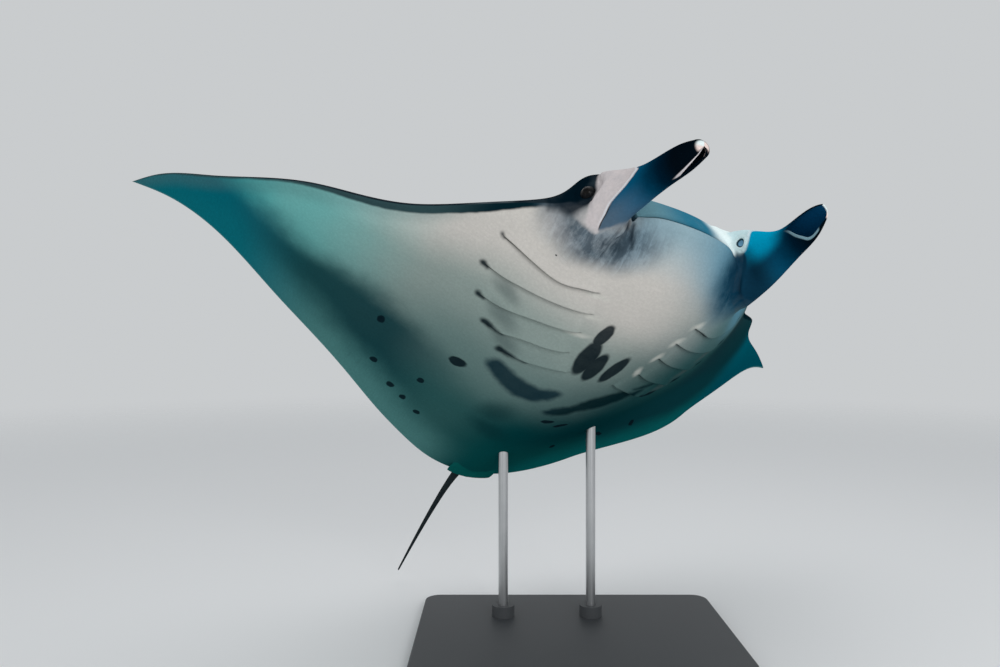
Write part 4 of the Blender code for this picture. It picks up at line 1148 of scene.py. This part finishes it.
def eyeFinish():
    finish = Finish("mantaEye", eyeTones)
    u, v, w = finish.split(finish.layer("gaze"))
    away = (u * u + v * v).root()
    pupil = (u * u * 1.0 + v * v * 2.6).root().step(0.34, 0.28)
    fibre = finish.noise(finish.join(u * 9, v * 9, away * 2.0), 3, 4, 0.7)
    iris = finish.mix(fibre, "iris", "irisPale")
    ball = finish.mix(away.step(0.50, 0.60).most(w.step(0.2, -0.1)), iris, "white")
    ball = finish.mix(pupil, ball, "pupil")
    rough = 0.16 + fibre * 0.05 + away.step(0.45, 0.75) * 0.35
    finish.set(Base_Color=ball, Roughness=rough, Coat_Weight=0.05, Coat_Roughness=0.06,
               Specular_IOR_Level=0.08)
    return finish.material


# stand
standTones = {"coat": (58, 61, 64), "coatPale": (70, 73, 76), "steel": (176, 178, 180),
              "steelPale": (196, 197, 198)}


def coatedFinish():
    finish = Finish("standCoat", standTones)
    where = finish.node("ShaderNodeTexCoord", output="Object")
    grain = finish.noise(where, 900, 2, 0.6)
    cloud = finish.noise(where, 6, 4, 0.6)
    finish.set(Base_Color=finish.mix(cloud, "coat", "coatPale"), Roughness=0.46 + grain * 0.12 + cloud * 0.06,
               Normal=finish.bumps(grain, 0.0004, 0.5))
    return finish.material


def steelFinish():
    finish = Finish("rodSteel", standTones)
    where = finish.node("ShaderNodeTexCoord", output="Object")
    brushed = finish.noise(finish.vector("MULTIPLY", where, (1, 1, 60)), 30, 4, 0.6)
    smear = finish.noise(where, 14, 3)
    finish.set(Base_Color=finish.mix(smear, "steel", "steelPale"), Metallic=1.0,
               Roughness=0.24 + brushed * 0.16 + smear * 0.06, Normal=finish.bumps(brushed, 0.0003, 0.35))
    return finish.material


# studio
studio = {
    "floor": 16.0, "fadeFrom": 5.0, "fadeTo": 13.0, "skyPower": 0.80,
    "tones": {"paper": (236, 237, 238), "sky": (222, 225, 227)},
    # each light's place, what it points at, its size and its power
    "lights": {"keyLight": ((1.6, -4.2, 2.4), (0.1, -0.2, 1.2), (2.0, 2.0), 62),
               "fillLight": ((-3.2, -3.0, 1.2), (-0.3, 0, 1.2), (2.0, 2.4), 8),
               "topLight": ((0.4, 0.3, 4.4), (0, 0, 0.8), (3.6, 3.6), 24)},
    "camera": (-0.283, -3.067, 1.160), "lens": 28.8, "sensor": 36,
}


def addObject(name, data, at):
    thing = bpy.data.objects.new(name, data)
    thing.location = at
    bpy.context.scene.collection.objects.link(thing)
    return thing


def areaLight(name, at, aim, size, power):
    light = bpy.data.lights.new(name, "AREA")
    light.shape, light.size, light.size_y = "RECTANGLE", size[0], size[1]
    light.energy = power
    thing = addObject(name, light, at)
    thing.rotation_euler = (Vector(aim) - Vector(at)).to_track_quat("-Z", "Y").to_euler()
    thing.visible_camera = False


def paperFloor():
    # matt paper that fades away into the background
    half = studio["floor"]
    corners = [(-half, -half, 0), (half, -half, 0), (half, half, 0), (-half, half, 0)]
    floor = meshObject("floor", corners, [np.array([[0, 1, 2, 3]])])
    finish = Finish("studioFloor", studio["tones"])
    x, y, _ = finish.split(finish.node("ShaderNodeTexCoord", output="Object"))
    far = (x * x + y * y).root().step(studio["fadeFrom"], studio["fadeTo"])
    finish.set(Base_Color="paper", Roughness=0.85, Specular_IOR_Level=0.2)
    clear = finish.node("ShaderNodeBsdfTransparent")
    paper = Value(finish, finish.surface.outputs[0])
    faded = finish.node("ShaderNodeMixShader", {}, {0: far, 1: paper, 2: clear})
    finish.feed(finish.tree.nodes["Material Output"].inputs["Surface"], faded)
    floor.data.materials.append(finish.material)


def setStudio():
    paperFloor()
    scene = bpy.context.scene
    scene.world = bpy.data.worlds.new("studio")
    scene.world.use_nodes = True
    background = scene.world.node_tree.nodes["Background"]
    background.inputs["Color"].default_value = rgb(*studio["tones"]["sky"])
    background.inputs["Strength"].default_value = studio["skyPower"]
    for name, settings in studio["lights"].items():
        areaLight(name, *settings)
    camera = bpy.data.cameras.new("camera")
    camera.lens, camera.sensor_width = studio["lens"], studio["sensor"]
    holder = addObject("camera", camera, studio["camera"])
    holder.rotation_euler = (math.pi / 2, 0, 0)
    scene.camera = holder
    scene.view_settings.view_transform = "Standard"


# build
skin = mantaSkin()
skin.data.materials.append(skinFinish())
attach(skin, "root")
fleshNodes = [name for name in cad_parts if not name.startswith(("stand_", "eye_"))]
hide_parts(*fleshNodes)
print("skin", len(skin.data.vertices), "vertices")

eyeMaterial = eyeFinish()
for sideName, sign in (("right", 1), ("left", -1)):
    ball = eyeBall("eyeBall_" + sideName, sign)
    ball.data.materials.append(eyeMaterial)
    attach(ball, "root")
    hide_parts("eye_" + sideName)
print("eyes")

coated, steel = coatedFinish(), steelFinish()
for name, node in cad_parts.items():
    if name.startswith("stand_"):
        for materialSlot in node.material_slots:
            materialSlot.material = steel if name.startswith("stand_rod") else coated
print("stand")

setStudio()
print("studio")
